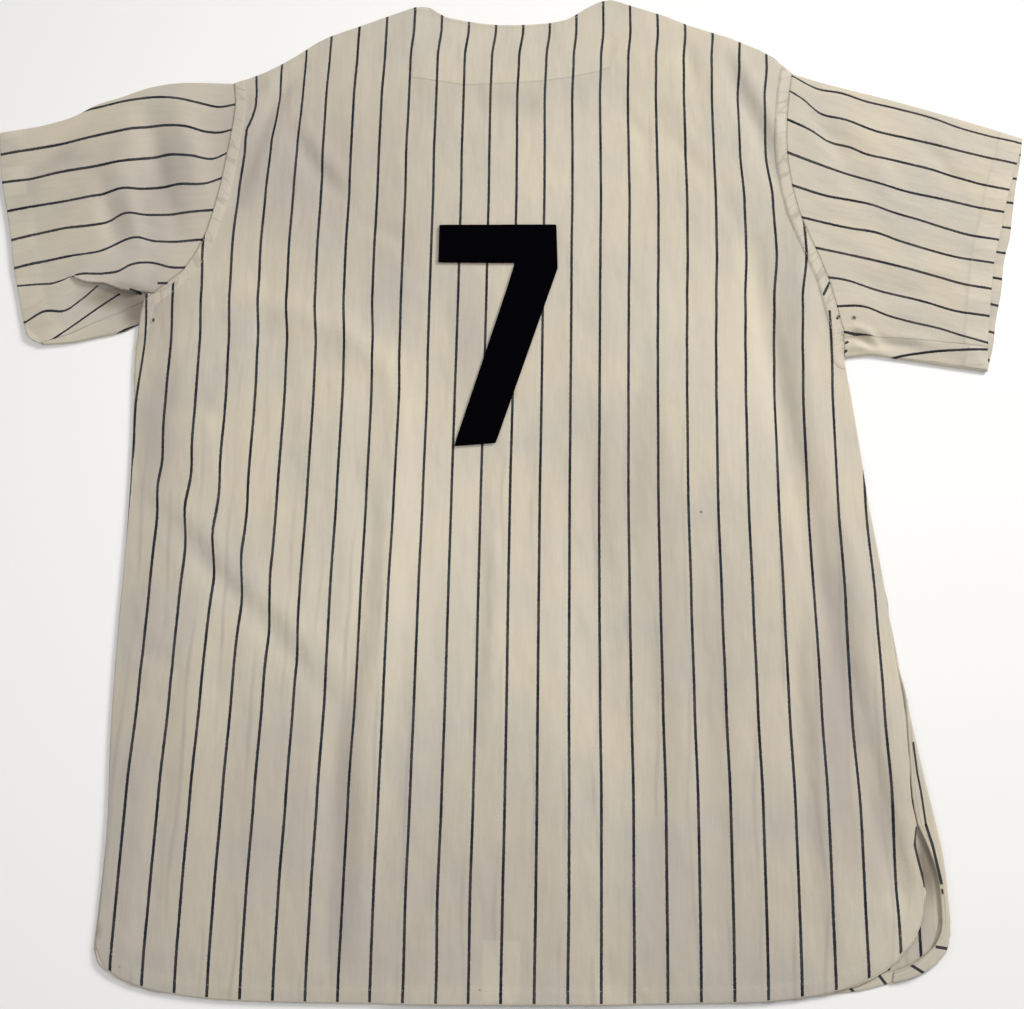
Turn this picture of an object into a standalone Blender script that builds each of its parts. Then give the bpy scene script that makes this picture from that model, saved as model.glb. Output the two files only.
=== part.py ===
"""A button-front baseball jersey in pinstriped wool flannel, laid flat with its back up.

+X is the right of the jersey as it lies, +Y points to its collar and +Z up from the table.
The tables are in millimetres. The origin is on the table, under the middle of the jersey.
"""

import math

import bmesh
import bpy
import numpy as np

# Driving sizes, in millimetres
MM = 0.001
WALL = 1.1  # wool flannel
GAP = 0.3  # between pieces that are sewn or lie together
FELT = 1.0  # the number
FACING = 0.9  # the neck facing
EDGE_HEIGHT = 2.7  # top of the two layers at any outer edge
LOFT = 1.5  # how far the back rises over the air inside
LOFT_REACH = 26.0  # distance from the edge over which it rises
HIGHEST = 6.35  # the folds stop here
BUTTON_RADIUS = 8.0
BUTTON_THICKNESS = 2.0
BUTTON_RIM = 1.6
BUTTON_DISH = 0.35
BUTTON_COUNT = 6
BUTTON_TOP_Y = 290.0
BUTTON_PITCH = 106.0
PLACKET_HALF = 20.0
SEAM_SHIFT_LEFT = np.array((-0.35, 0.2))  # from the armhole's line to the sleeve's edge
SEAM_SHIFT_RIGHT = np.array((0.35, 0.1))

# Rows of the grids along each run of an edge
SIDE_ROWS = (5, 16, 12)  # vent, side seam, armhole
BACK_COLUMNS = (12, 10, 12)  # shoulder, neck, shoulder
FRONT_COLUMNS = (5, 8)  # shoulder, neckline
SLEEVE_COLUMNS = 10
FOLD_STEPS = 4
TURN_STEPS = (6, 16)
NUMBER_STEPS = (6, 3, 9)

# Edges of the back, as runs of (x, y) that each keep a corner at their ends
LEFT_VENT = [(-309.5, -402), (-308.8, -375), (-308.7, -345), (-309.6, -302)]
LEFT_SIDE = [(-309.6, -302), (-312.8, -254), (-315.1, -174), (-315.5, -91), (-316.1, -48),
             (-319.5, 30), (-322.6, 80), (-322, 110)]
LEFT_ARMHOLE = [(-322, 110), (-320.8, 121), (-317.2, 136), (-295.4, 148.7), (-285, 161.2),
                (-271.2, 189.2), (-263.7, 219.5), (-258.7, 249.1), (-256.1, 275),
                (-253.3, 299.2), (-252.3, 324.7), (-255.8, 347.2)]
RIGHT_VENT = [(333.4, -350), (332.2, -335), (328.2, -316), (329.9, -301.7)]
RIGHT_SIDE = [(329.9, -301.7), (327.4, -288), (327, -250), (325.5, -201), (321.4, -172),
              (317.1, -122.7), (312.1, -80.8), (306.3, -38), (302, 5.6), (297.1, 50.2), (292.3, 89)]
RIGHT_ARMHOLE = [(292.3, 89), (292.6, 108.6), (287.4, 134.6), (280.8, 161.8), (270.6, 190.3),
                 (259.3, 219.2), (252.5, 250.4), (249.3, 284.2), (250.5, 316.5), (254.4, 347.3),
                 (257.9, 365.9)]
LEFT_SHOULDER = [(-255.8, 347.2), (-230, 358), (-203.9, 374), (-177.2, 393.4), (-140.8, 409.8),
                 (-92.1, 429.5)]
BACK_NECK = [(-92.1, 429.5), (-77, 428), (-66, 420.8), (-40.3, 414.7), (-15.9, 411.9),
             (10.1, 412.4), (35.3, 414.8), (52, 419.3), (66, 429.2), (81, 437.5), (92.2, 440.3)]
RIGHT_SHOULDER = [(92.2, 440.3), (110, 434.5), (139.8, 425), (162, 415.5), (207.3, 399.6),
                  (240, 382.5), (257.9, 365.9)]
HEM_LEFT = [(-309.5, -402), (-305.5, -414), (-290.6, -424.8), (-270.8, -431.6), (-245.9, -436),
            (-220, -438.7), (-179.7, -440.1), (-110, -440.3)]
HEM_MIDDLE = [(-110, -440.3), (3.6, -439.3), (110, -437.6)]
HEM_RIGHT = [(110, -437.6), (156.3, -436.1), (206, -434.2), (240, -430), (262, -425.5),
             (286.3, -416.9), (301.4, -408), (311.9, -398.4), (322.7, -385.9), (329.7, -371),
             (333.4, -350)]

# Edges of the fronts, where they leave the back's
FRONT_VENT_LEFT = [(-311.5, -402), (-310.6, -375), (-309.9, -345), (-309.6, -302)]
FRONT_HEM_LEFT = [(-311.5, -402), (-306.5, -415), (-290.6, -425.2), (-270.8, -432),
                  (-245.9, -436), (-220, -438.7), (-190, -440), (-160, -440.3)]
FRONT_HEM_PLACKET_LEFT = [(-160, -440.3), (-60, -440), (PLACKET_HALF, -439.2)]
FRONT_HEM_PLACKET_RIGHT = [(-PLACKET_HALF, -439.5), (60, -438.4), (140, -436.6)]
FRONT_HEM_RIGHT = [(140, -436.6), (206, -434.4), (262, -427.5), (283.4, -424.4), (301.3, -419.8),
                   (317, -415.5), (330, -409.5), (341, -402.4), (348.2, -393), (350.7, -379)]
FRONT_VENT_RIGHT = [(350.7, -379), (350.4, -357.5), (348.1, -320.2), (344.8, -301)]
FRONT_SIDE_RIGHT = [(344.8, -301), (341.2, -282.2), (334.1, -243.5), (327.8, -204),
                    (322.9, -163.8), (317.1, -122.7), (312.1, -80.8), (306.3, -38), (302, 5.6),
                    (297.1, 50.2), (292.3, 89)]
NECKLINE_LEFT = [(-92.1, 429.5), (-84, 396), (-64, 362), (-36, 337), (-6, 322), (PLACKET_HALF, 313)]
NECKLINE_RIGHT = [(-PLACKET_HALF, 313), (6, 322), (38, 339), (66, 366), (85, 402), (92.2, 440.3)]
CENTRE_Y = (-439.3, -300, 85, 313)  # the ends of the rows' runs along the placket's edge

# The right front's strip that turns up over the side and round the vent's corner
TURN_OUTER = [
    [(323.8, -171), (327.8, -204), (334.1, -243.5), (341.2, -282.2), (344.8, -301)],
    [(344.8, -301), (348.1, -320.2), (350.4, -357.5), (350.7, -379), (348.2, -393),
     (341, -402.4), (330, -409.5), (317, -415.5), (305, -418.8)]]
TURN_INNER = [
    [(322.6, -171), (326.9, -201), (328.2, -250), (329, -286), (331.4, -301)],
    [(331.4, -301), (339.3, -320.4), (344.6, -340), (345.6, -361), (344.6, -380),
     (339.4, -390.2), (329.5, -399.6), (317.5, -407.2), (306.5, -411)]]

# Edges of the sleeves, from the armhole outwards and from the underarm up
LEFT_SLEEVE_TOP = [(-255.8, 347.2), (-317.3, 345.6), (-332.7, 342), (-358.4, 331.6),
                   (-379.7, 323.6), (-400.4, 311), (-424.2, 302.5), (-465.2, 293.8)]
LEFT_SLEEVE_UNDER = [(-322, 110), (-336.9, 102.5), (-357.4, 97.1), (-377.8, 92.2), (-403, 89.9)]
LEFT_CUFF = [(-403, 89.9), (-417, 97), (-422.6, 110), (-429.6, 134.2), (-437, 159.7),
             (-442.8, 187.4), (-449.7, 215.5), (-457.5, 243.9), (-465.2, 293.8)]
RIGHT_SLEEVE_TOP = [(257.9, 365.9), (278.8, 359), (349.4, 339.6), (413, 320.2), (465.2, 303)]
RIGHT_SLEEVE_UNDER = [(292.3, 89), (316.5, 91.4), (336.3, 89), (371.5, 84.1), (415.8, 78)]
RIGHT_CUFF_BACK = [(415.8, 78), (418.3, 107.9), (424.4, 151.9), (429.3, 181.4), (437.9, 211.4),
                   (442, 229), (452.9, 263.6), (461.8, 290), (465.2, 303)]
RIGHT_CUFF_FRONT = [(415.8, 78), (422.9, 102), (426.8, 123.7), (434, 152.9), (439.1, 182.5),
                    (446.2, 206), (449.8, 226.2), (456, 257.8), (461.8, 281.8), (465.2, 303)]

# The facing inside the back's neckline
FACING_LOWER = [(-87, 353), (-45, 346.5), (-20, 348), (5.5, 349.4), (29.4, 351.9),
                (50.5, 355.3), (75, 361.5), (88, 366)]
FACING_UPPER = [(-87, 423), (-74, 421), (-63, 415), (-40, 410), (-15, 407.4), (10, 407.8),
                (35, 410), (52, 414.5), (66, 423.5), (80, 431), (88, 433.5)]

# The number, as runs along its outer and inner outlines: bar, corner, leg
NUMBER_OUTER = [[(-61.9, 207.1), (41.1, 208.8)], [(41.1, 208.8), (42.7, 167.5)],
                [(42.7, 167.5), (-8.9, 6.8)]]
NUMBER_INNER = [[(-61.7, 172.5), (5.1, 171.6)], [(5.1, 171.6), (-1.9, 147)],
                [(-1.9, 147), (-42.9, 3.5)]]

# Creases of the upper side: height (minus for a trough), half width, points along it
CREASES = {
    "left diagonal": (-1.0, 13, [(-312, -36), (-267.5, -64.6), (-239.8, -98.2), (-200.2, -131.1),
                                 (-147.6, -187.6)]),
    "left shoulder blade": (0.9, 18, [(-244.7, 142.9), (-180, 118), (-136.9, 97.9), (-105.3, 70.9),
                                      (-92.7, 34.8), (-93.2, -18.4), (-103.7, -70.5),
                                      (-113.6, -129.7)]),
    "left long trough": (-0.9, 13, [(-104, -110), (-111.3, -178.9), (-124.1, -250.9), (-118, -400)]),
    "left chest": (-0.6, 16, [(-210, 150), (-196, 90), (-186, 20), (-190, -50)]),
    "right long trough": (-1.2, 12, [(247.7, 165), (244.5, 67.4), (254.8, 4.8), (261, -47.4),
                                     (275, -106.7), (284.1, -172.5), (296.9, -236.3), (312, -290)]),
    "right long ridge": (0.8, 13, [(268, 150), (272, 60), (278, -21.2), (302.2, -139.5),
                                   (318, -262)]),
    "right inner ridge": (0.5, 16, [(222, 120), (222, 0), (238, -110), (262, -220), (276, -330)]),
    "left shoulder strain": (-0.8, 13, [(-190, 372), (-220.9, 320.1), (-240, 229.6)]),
    "right shoulder strain": (-0.8, 12, [(207, 386), (232, 340), (246, 290)]),
    "right shoulder ridge": (0.6, 12, [(190, 392), (212, 345), (222, 285)]),
    "left sleeve trough": (-0.9, 14, [(-331.5, 332), (-312.6, 268.1), (-289, 199.6)]),
    "left sleeve outer": (-0.7, 14, [(-446, 238), (-409.2, 281.5), (-376.3, 322)]),
    "left sleeve ridge": (0.9, 20, [(-395, 205), (-352, 240), (-345, 290)]),
    "left underarm flap": (1.5, 12, [(-404, 158), (-384.9, 163), (-353.8, 162), (-337, 156),
                                     (-304, 150)]),
    "left underarm hollow": (-1.3, 9, [(-372, 136), (-350, 141), (-334, 135), (-321, 128)]),
    "right sleeve wrinkle": (-0.5, 10, [(366, 300), (390, 283), (404, 258)]),
    "right underarm bunch": (0.9, 10, [(292, 120), (318, 112), (346, 112)]),
    "right underarm hollow": (-0.7, 8, [(298, 104), (322, 100), (350, 101)]),
    "lower left": (-0.5, 16, [(-265, -180), (-262, -280), (-270, -390)]),
    "lower right": (-0.5, 14, [(168, -180), (176, -290), (178, -400)]),
}

# How far each front's placket stands up, the x between which it is flat, and how far below the
# facing it has come down
BUTTON_RISE = BUTTON_THICKNESS + GAP
LAYER_RISE = WALL + GAP
LEFT_PLACKET = {"height": BUTTON_RISE, "flat": (-32, 24), "short": 9}
RIGHT_PLACKET = {"height": BUTTON_RISE + LAYER_RISE, "flat": (-24, 44), "short": 2}
PLACKET_SLOPE = 46
PLACKET_END = 14
BESIDE_PLACKET = 44  # beyond this x the right front comes down sooner below the facing
SOONER = 1.2

# The back's own rise over the placket and the facing, wider than theirs
OVER_PLACKET = (-52, 68)
OVER_PLACKET_SLOPE = 62
OVER_PLACKET_END = (380, 40)
OVER_FACING_EDGE = 46
OVER_FACING_SIDE = 132
OVER_FACING_SLOPE = 34


def curve(points, t):
    """Points of a smooth curve through a table, at the fractions t of its length."""
    p = np.array(points, dtype=float)
    s = np.concatenate(([0.0], np.cumsum(np.hypot(*np.diff(p, axis=0).T))))
    step = np.diff(s)[:, None]
    slope = np.diff(p, axis=0) / step
    inner = (slope[:-1] * step[1:] + slope[1:] * step[:-1]) / (step[:-1] + step[1:])
    tangent = np.vstack((slope[:1], inner, slope[-1:]))
    at = np.clip(np.asarray(t, dtype=float), 0, 1) * s[-1]
    i = np.clip(np.searchsorted(s, at, side="right") - 1, 0, len(p) - 2)
    h = (s[i + 1] - s[i])[..., None]
    f = ((at - s[i]) / (s[i + 1] - s[i]))[..., None]
    return (p[i] * (2 * f**3 - 3 * f**2 + 1) + tangent[i] * h * (f**3 - 2 * f**2 + f)
            + p[i + 1] * (3 * f**2 - 2 * f**3) + tangent[i + 1] * h * (f**3 - f**2))


def along(runs, t):
    """A point on an edge made of runs, each of which takes an equal share of t."""
    t = np.asarray(t, dtype=float)
    scaled = np.clip(t, 0, 1) * len(runs)
    which = np.minimum(scaled.astype(int), len(runs) - 1)
    out = np.zeros(t.shape + (2,))
    for index, run in enumerate(runs):
        out[which == index] = curve(run, (scaled - index)[which == index])
    return out


def steps(counts):
    """Shares of an edge, with so many steps in each of its runs."""
    shares = [(run + i / n) / len(counts) for run, n in enumerate(counts) for i in range(n)]
    return np.array(shares + [1.0])


def patch(bottom, top, left, right, u, v):
    """A sheet's plan from its four edges: u runs to the right and v upwards."""
    u, v = u[None, :, None], v[:, None, None]
    low, high = along(bottom, u[..., 0]), along(top, u[..., 0])
    west, east = along(left, v[..., 0]), along(right, v[..., 0])
    corners = ((1 - v) * ((1 - u) * low[:, :1] + u * low[:, -1:])
               + v * ((1 - u) * high[:, :1] + u * high[:, -1:]))
    return (1 - v) * low + v * high + (1 - u) * west + u * east - corners


def distance(x, y, points):
    """Distance from each (x, y) to a line of points, and the share of its length there."""
    p = np.array(points, dtype=float)
    lengths = np.hypot(*np.diff(p, axis=0).T)
    before = np.concatenate(([0.0], np.cumsum(lengths)))
    best, share = np.full(np.shape(x), np.inf), np.zeros(np.shape(x))
    for i, length in enumerate(lengths):
        d = (p[i + 1] - p[i]) / length
        f = np.clip((x - p[i, 0]) * d[0] + (y - p[i, 1]) * d[1], 0, length)
        away = np.hypot(x - p[i, 0] - d[0] * f, y - p[i, 1] - d[1] * f)
        closer = away < best
        best, share = np.where(closer, away, best), np.where(closer, (before[i] + f) / before[-1], share)
    return best, share


def ramp(x):
    """0 below 0, 1 above 1, smooth between."""
    x = np.clip(x, 0, 1)
    return x * x * (3 - 2 * x)


def smooth_max(a, b, blend=0.35):
    """The larger of two heights, rounded off where they meet."""
    return 0.5 * (a + b + np.sqrt((a - b) ** 2 + blend**2))


OUTLINE_RUNS = [
    LEFT_CUFF[::-1], LEFT_SLEEVE_UNDER[::-1], LEFT_SIDE[::-1], FRONT_VENT_LEFT[::-1],
    FRONT_HEM_LEFT, FRONT_HEM_PLACKET_LEFT, FRONT_HEM_PLACKET_RIGHT[1:], FRONT_HEM_RIGHT,
    FRONT_VENT_RIGHT, FRONT_SIDE_RIGHT, RIGHT_SLEEVE_UNDER, RIGHT_CUFF_FRONT,
    RIGHT_SLEEVE_TOP[::-1], RIGHT_SHOULDER[::-1], BACK_NECK[::-1], LEFT_SHOULDER[::-1],
    LEFT_SLEEVE_TOP]
OUTLINE = np.vstack([curve(run, np.linspace(0, 1, 9))[1:] for run in OUTLINE_RUNS])


def rise(x, flat, length):
    """1 between the two x of flat, down to 0 over a length on each side."""
    return ramp((x - flat[0] + length) / length) * ramp((flat[1] + length - x) / length)


def facing_edge(x):
    return np.interp(x, *np.array(FACING_LOWER).T)


def front_floor(x, y, placket):
    """Underside of a front: on the table, apart from its placket."""
    short = placket["short"] + SOONER * np.maximum(0, x - BESIDE_PLACKET)
    below = ramp((facing_edge(x) - short - y) / PLACKET_END)
    return placket["height"] * rise(x, placket["flat"], PLACKET_SLOPE) * below


def needed(x, y):
    """The lowest that the back's top may be: it clears the placket and the neck facing."""
    end, fade = OVER_PLACKET_END
    placket = RIGHT_PLACKET["height"] + WALL
    placket = placket * rise(x, OVER_PLACKET, OVER_PLACKET_SLOPE) * ramp((end - y) / fade)
    over = ramp((y - facing_edge(x) + OVER_FACING_EDGE) / OVER_FACING_SLOPE)
    facing = WALL + GAP + FACING * over * ramp((OVER_FACING_SIDE - abs(x)) / OVER_FACING_SLOPE)
    return np.maximum(smooth_max(placket, np.full_like(x, WALL)), facing) + GAP + WALL


def lie(x, y):
    """Height of the upper side where the jersey lies."""
    inside, _ = distance(x, y, OUTLINE)
    loft = 1 - np.exp(-inside / LOFT_REACH)
    height = EDGE_HEIGHT + LOFT * loft
    for depth, half_width, points in CREASES.values():
        away, share = distance(x, y, points)
        fade = np.sin(math.pi * (0.08 + 0.84 * share)) ** 0.6
        height = height + depth * loft * fade * np.exp(-((away / half_width) ** 2))
    height = np.clip(height, EDGE_HEIGHT, HIGHEST)
    lowest = needed(x, y)
    close = ramp((lowest - EDGE_HEIGHT + 0.1) / 0.4)
    return height + close * (smooth_max(height, lowest) - height)


def material(name, colour, roughness):
    made = bpy.data.materials.new(name)
    made.use_nodes = True
    shader = made.node_tree.nodes["Principled BSDF"]
    shader.inputs["Base Color"].default_value = (*colour, 1)
    shader.inputs["Roughness"].default_value = roughness
    shader.inputs["Metallic"].default_value = 0
    return made


def add_object(name, mesh_builder, look, collection):
    mesh = bpy.data.meshes.new(name)
    mesh_builder.to_mesh(mesh)
    mesh_builder.free()
    mesh.materials.append(look)
    mesh.shade_smooth()
    mesh.set_sharp_from_angle(angle=math.radians(40))
    made = bpy.data.objects.new(name, mesh)
    collection.objects.link(made)
    return made


def cloth(name, outside, inside, look, collection):
    """A wall of cloth: a grid whose two sides take their places from two arrays of rows of points."""
    rows, columns = outside.shape[:2]
    sheet = bmesh.new()
    bmesh.ops.create_grid(sheet, x_segments=columns - 1, y_segments=rows - 1, size=1)
    grown = bmesh.ops.extrude_face_region(sheet, geom=sheet.faces[:])["geom"]
    lower = [part for part in grown if isinstance(part, bmesh.types.BMVert)]
    bmesh.ops.translate(sheet, verts=lower, vec=(0, 0, -1))
    for vert in sheet.verts:
        column = round((vert.co.x + 1) / 2 * (columns - 1))
        row = round((vert.co.y + 1) / 2 * (rows - 1))
        side = outside if vert.co.z > -0.5 else inside
        vert.co = side[row, column] * MM
    bmesh.ops.recalc_face_normals(sheet, faces=sheet.faces[:])
    if sheet.calc_volume(signed=True) < 0:
        bmesh.ops.reverse_faces(sheet, faces=sheet.faces[:])
    return add_object(name, sheet, look, collection)


def panel(name, plan, top, thickness, look, collection):
    """A wall of cloth over a plan, with its top at a height that is a number or an array."""
    top = np.broadcast_to(top, plan.shape[:2])
    return cloth(name, np.dstack((plan, top)), np.dstack((plan, top - thickness)), look, collection)


def heights(function, plan, *more):
    return function(plan[..., 0], plan[..., 1], *more)


def back(look, collection):
    plan = patch([HEM_LEFT, HEM_MIDDLE, HEM_RIGHT], [LEFT_SHOULDER, BACK_NECK, RIGHT_SHOULDER],
                 [LEFT_VENT, LEFT_SIDE, LEFT_ARMHOLE], [RIGHT_VENT, RIGHT_SIDE, RIGHT_ARMHOLE],
                 steps(BACK_COLUMNS), steps(SIDE_ROWS))
    panel("back", plan, heights(lie, plan), WALL, look, collection)


def centre_edge(x):
    """Runs up a placket's free edge, from the hem to the neckline."""
    return [[(x, low), (x, high)] for low, high in zip(CENTRE_Y, CENTRE_Y[1:])]


def fronts(look, collection):
    plan = patch([FRONT_HEM_LEFT, FRONT_HEM_PLACKET_LEFT], [LEFT_SHOULDER, NECKLINE_LEFT],
                 [FRONT_VENT_LEFT, LEFT_SIDE, LEFT_ARMHOLE], centre_edge(PLACKET_HALF),
                 steps(FRONT_COLUMNS), steps(SIDE_ROWS))
    top = heights(front_floor, plan, LEFT_PLACKET) + WALL
    panel("front_left", plan, top, WALL, look, collection)
    plan = patch([FRONT_HEM_PLACKET_RIGHT, FRONT_HEM_RIGHT], [NECKLINE_RIGHT, RIGHT_SHOULDER],
                 centre_edge(-PLACKET_HALF), [FRONT_VENT_RIGHT, FRONT_SIDE_RIGHT, RIGHT_ARMHOLE],
                 steps(FRONT_COLUMNS[::-1]), steps(SIDE_ROWS))
    top = heights(front_floor, plan, RIGHT_PLACKET) + WALL
    panel("front_right", plan, top, WALL, look, collection)


def turned_edge(look, collection):
    """The right front's edge, turned up over itself, which shows beside the back and in the vent."""
    share = steps(TURN_STEPS)
    plan = np.stack((along(TURN_OUTER, share), along(TURN_INNER, share)))
    panel("turned_edge_right", plan, 2 * WALL + GAP, WALL, look, collection)


def sleeve_wall(upper, lower, depth):
    """One side of a folded sleeve's wall, at a depth into it: rows of points from the underarm seam,
    round under the sleeve, over its top fold and back to the seam."""
    last = upper.shape[0] - 1
    centre_height = EDGE_HEIGHT / 2
    rows = []

    def fold(row, inner_row, angles):
        way = upper[inner_row] - upper[row]
        way = way / np.linalg.norm(way, axis=1)[:, None]
        for angle in angles:
            reach = centre_height - (centre_height - depth) * math.cos(angle)
            height = centre_height + (centre_height - depth) * math.sin(angle)
            plan = upper[row] + way * reach
            rows.append(np.column_stack((plan, np.full(len(plan), height))))

    def seam_side(offset):
        way = upper[1] - upper[0]
        plan = upper[1] + way / np.linalg.norm(way, axis=1)[:, None] * offset
        rows.append(np.column_stack((plan, heights(lie, plan) - depth)))

    half_turn = np.linspace(math.pi / 2, -math.pi / 2, FOLD_STEPS + 1)
    seam_side(-GAP / 2)
    fold(0, 1, half_turn)
    for row in range(1, last):
        rows.append(np.column_stack((lower[row], np.full(lower.shape[1], depth))))
    fold(last, last - 1, half_turn[::-1])
    for row in range(last - 1, 1, -1):
        rows.append(np.column_stack((upper[row], heights(lie, upper[row]) - depth)))
    seam_side(GAP / 2)
    return np.array(rows)


def sleeve(name, armhole, shift, top_edge, under_edge, cuffs, look, collection):
    """A short sleeve, lying folded: cuffs holds the cuff's line above and below."""
    out, up = np.linspace(0, 1, SLEEVE_COLUMNS + 1), steps(SIDE_ROWS[2:])
    from_body = (1 - out)[None, :, None] * shift
    upper, lower = (patch([under_edge], [top_edge], [armhole], [cuff], out, up) + from_body
                    for cuff in cuffs)
    outer, inner = (sleeve_wall(upper, lower, depth) for depth in (0.0, WALL))
    return cloth(name, outer, inner, look, collection)


def sleeves(look, collection):
    sleeve("sleeve_left", LEFT_ARMHOLE, SEAM_SHIFT_LEFT, LEFT_SLEEVE_TOP, LEFT_SLEEVE_UNDER,
           (LEFT_CUFF, LEFT_CUFF), look, collection)
    sleeve("sleeve_right", RIGHT_ARMHOLE, SEAM_SHIFT_RIGHT, RIGHT_SLEEVE_TOP, RIGHT_SLEEVE_UNDER,
           (RIGHT_CUFF_BACK, RIGHT_CUFF_FRONT), look, collection)


def neck_facing(look, collection):
    plan = patch([FACING_LOWER], [FACING_UPPER], [[FACING_LOWER[0], FACING_UPPER[0]]],
                 [[FACING_LOWER[-1], FACING_UPPER[-1]]], np.linspace(0, 1, 13), np.linspace(0, 1, 3))
    panel("neck_facing", plan, WALL + GAP + FACING, FACING, look, collection)


def number(look, collection):
    """The felt 7, on the back's own height, moved out."""
    share, across = steps(NUMBER_STEPS), np.linspace(0, 1, 4)[:, None, None]
    plan = along(NUMBER_OUTER, share) * (1 - across) + along(NUMBER_INNER, share) * across
    panel("number", plan, heights(lie, plan) + GAP + FELT, FELT, look, collection)


def button(name, y, look, collection):
    """A button lying on its face: a disc whose two faces are dished inside a rim."""
    disc = bmesh.new()
    bmesh.ops.create_cone(disc, cap_ends=True, segments=20, radius1=BUTTON_RADIUS * MM,
                          radius2=BUTTON_RADIUS * MM, depth=BUTTON_THICKNESS * MM)
    for face in [face for face in disc.faces if len(face.verts) > 4]:
        bmesh.ops.inset_region(disc, faces=[face], thickness=BUTTON_RIM * MM)
        inwards = -math.copysign(BUTTON_DISH * MM, face.normal.z)
        bmesh.ops.translate(disc, verts=face.verts, vec=(0, 0, inwards))
    place = (0, y * MM, BUTTON_THICKNESS / 2 * MM)
    bmesh.ops.translate(disc, verts=disc.verts, vec=place)
    return add_object(name, disc, look, collection)


def build():
    for old in list(bpy.data.objects):
        bpy.data.objects.remove(old, do_unlink=True)
    jersey = bpy.data.collections.new("baseball_jersey")
    bpy.context.scene.collection.children.link(jersey)
    flannel = material("flannel", (0.66, 0.60, 0.49), 0.95)
    felt = material("felt", (0.012, 0.014, 0.024), 0.95)
    plastic = material("button", (0.70, 0.66, 0.55), 0.35)
    for piece in (back, fronts, turned_edge, sleeves, neck_facing):
        piece(flannel, jersey)
    number(felt, jersey)
    for index in range(BUTTON_COUNT):
        button(f"button_{index + 1}", BUTTON_TOP_Y - index * BUTTON_PITCH, plastic, jersey)


build()
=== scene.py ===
# %% [markdown]
# # A pinstriped baseball jersey, laid flat with its back up
# The jersey is sewn from wool flannel with a navy pinstripe woven in. It lies on its buttons, so what
# shows is the back panel, the backs of the two short sleeves, a plain felt numeral, and at the lower
# right a little of the front, turned up at the side vent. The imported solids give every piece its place
# and size. Each piece of cloth is made again here as a thin shell on the same form, with finer creases,
# sewn edges and a woven finish.

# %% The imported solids
import math

import bpy
import numpy as np
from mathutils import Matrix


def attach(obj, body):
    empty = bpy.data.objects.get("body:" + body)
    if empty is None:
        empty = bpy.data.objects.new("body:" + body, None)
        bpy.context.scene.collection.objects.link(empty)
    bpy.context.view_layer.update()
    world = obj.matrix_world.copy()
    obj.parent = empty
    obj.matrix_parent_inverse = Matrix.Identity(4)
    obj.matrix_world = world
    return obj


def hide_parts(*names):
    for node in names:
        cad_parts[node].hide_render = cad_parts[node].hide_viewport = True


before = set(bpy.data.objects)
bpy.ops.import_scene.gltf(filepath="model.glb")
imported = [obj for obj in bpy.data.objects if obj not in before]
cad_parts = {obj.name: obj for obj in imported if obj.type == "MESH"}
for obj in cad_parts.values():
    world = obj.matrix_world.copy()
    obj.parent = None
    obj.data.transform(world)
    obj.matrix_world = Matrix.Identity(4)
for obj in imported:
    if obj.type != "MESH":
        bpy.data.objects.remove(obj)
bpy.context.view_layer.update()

# %% [markdown]
# ## Camera
# The picture was taken by hand from about a metre above the hem, so the jersey narrows a little towards
# the neck. The even spacing of the pinstripes gives the lens, the distance and the tilt. All the tables
# below are in millimetres, because that is how a pattern cutter would measure, and MM makes them metres.

# %% Camera
MM = 0.001
CAMERA_PLACE = (9.99, -267.02, 944.94)
CAMERA_TILT = 13.16
CAMERA_TURN = 0.93
CAMERA_LENS = 40.43

camera_data = bpy.data.cameras.new("camera")
camera_data.lens = CAMERA_LENS
camera_data.sensor_width = 36
camera_data.sensor_fit = "HORIZONTAL"
camera = bpy.data.objects.new("camera", camera_data)
camera.location = [MM * c for c in CAMERA_PLACE]
camera.rotation_euler = (math.radians(CAMERA_TILT), 0, math.radians(CAMERA_TURN))
bpy.context.scene.collection.objects.link(camera)
bpy.context.scene.camera = camera
print("camera at", [round(c, 3) for c in camera.location])

# %% [markdown]
# ## The pattern pieces
# Each panel is a flat pattern with four sides. A side is one or more runs of points, and a smooth curve
# goes through them, as a cutter would draw it with a bent ruler. X runs to the right of the jersey as
# it lies and Y to the neck.

# %% Edges of the pattern pieces
PLACKET_HALF = 20.0  # the fronts overlap by this much on each side of the centre
# Edges of the back, as runs of (x, y) that each keep a corner at their ends
LEFT_VENT = [(-309.5, -402), (-308.8, -375), (-308.7, -345), (-309.6, -302)]
LEFT_SIDE = [(-309.6, -302), (-312.8, -254), (-315.1, -174), (-315.5, -91), (-316.1, -48),
             (-319.5, 30), (-322.6, 80), (-322, 110)]
LEFT_ARMHOLE = [(-322, 110), (-320.8, 121), (-317.2, 136), (-295.4, 148.7), (-285, 161.2),
                (-271.2, 189.2), (-263.7, 219.5), (-258.7, 249.1), (-256.1, 275),
                (-253.3, 299.2), (-252.3, 324.7), (-255.8, 347.2)]
RIGHT_VENT = [(333.4, -350), (332.2, -335), (328.2, -316), (329.9, -301.7)]
RIGHT_SIDE = [(329.9, -301.7), (327.4, -288), (327, -250), (325.5, -201), (321.4, -172),
              (317.1, -122.7), (312.1, -80.8), (306.3, -38), (302, 5.6), (297.1, 50.2), (292.3, 89)]
RIGHT_ARMHOLE = [(292.3, 89), (292.6, 108.6), (287.4, 134.6), (280.8, 161.8), (270.6, 190.3),
                 (259.3, 219.2), (252.5, 250.4), (249.3, 284.2), (250.5, 316.5), (254.4, 347.3),
                 (257.9, 365.9)]
LEFT_SHOULDER = [(-255.8, 347.2), (-230, 358), (-203.9, 374), (-177.2, 393.4), (-140.8, 409.8),
                 (-92.1, 429.5)]
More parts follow.
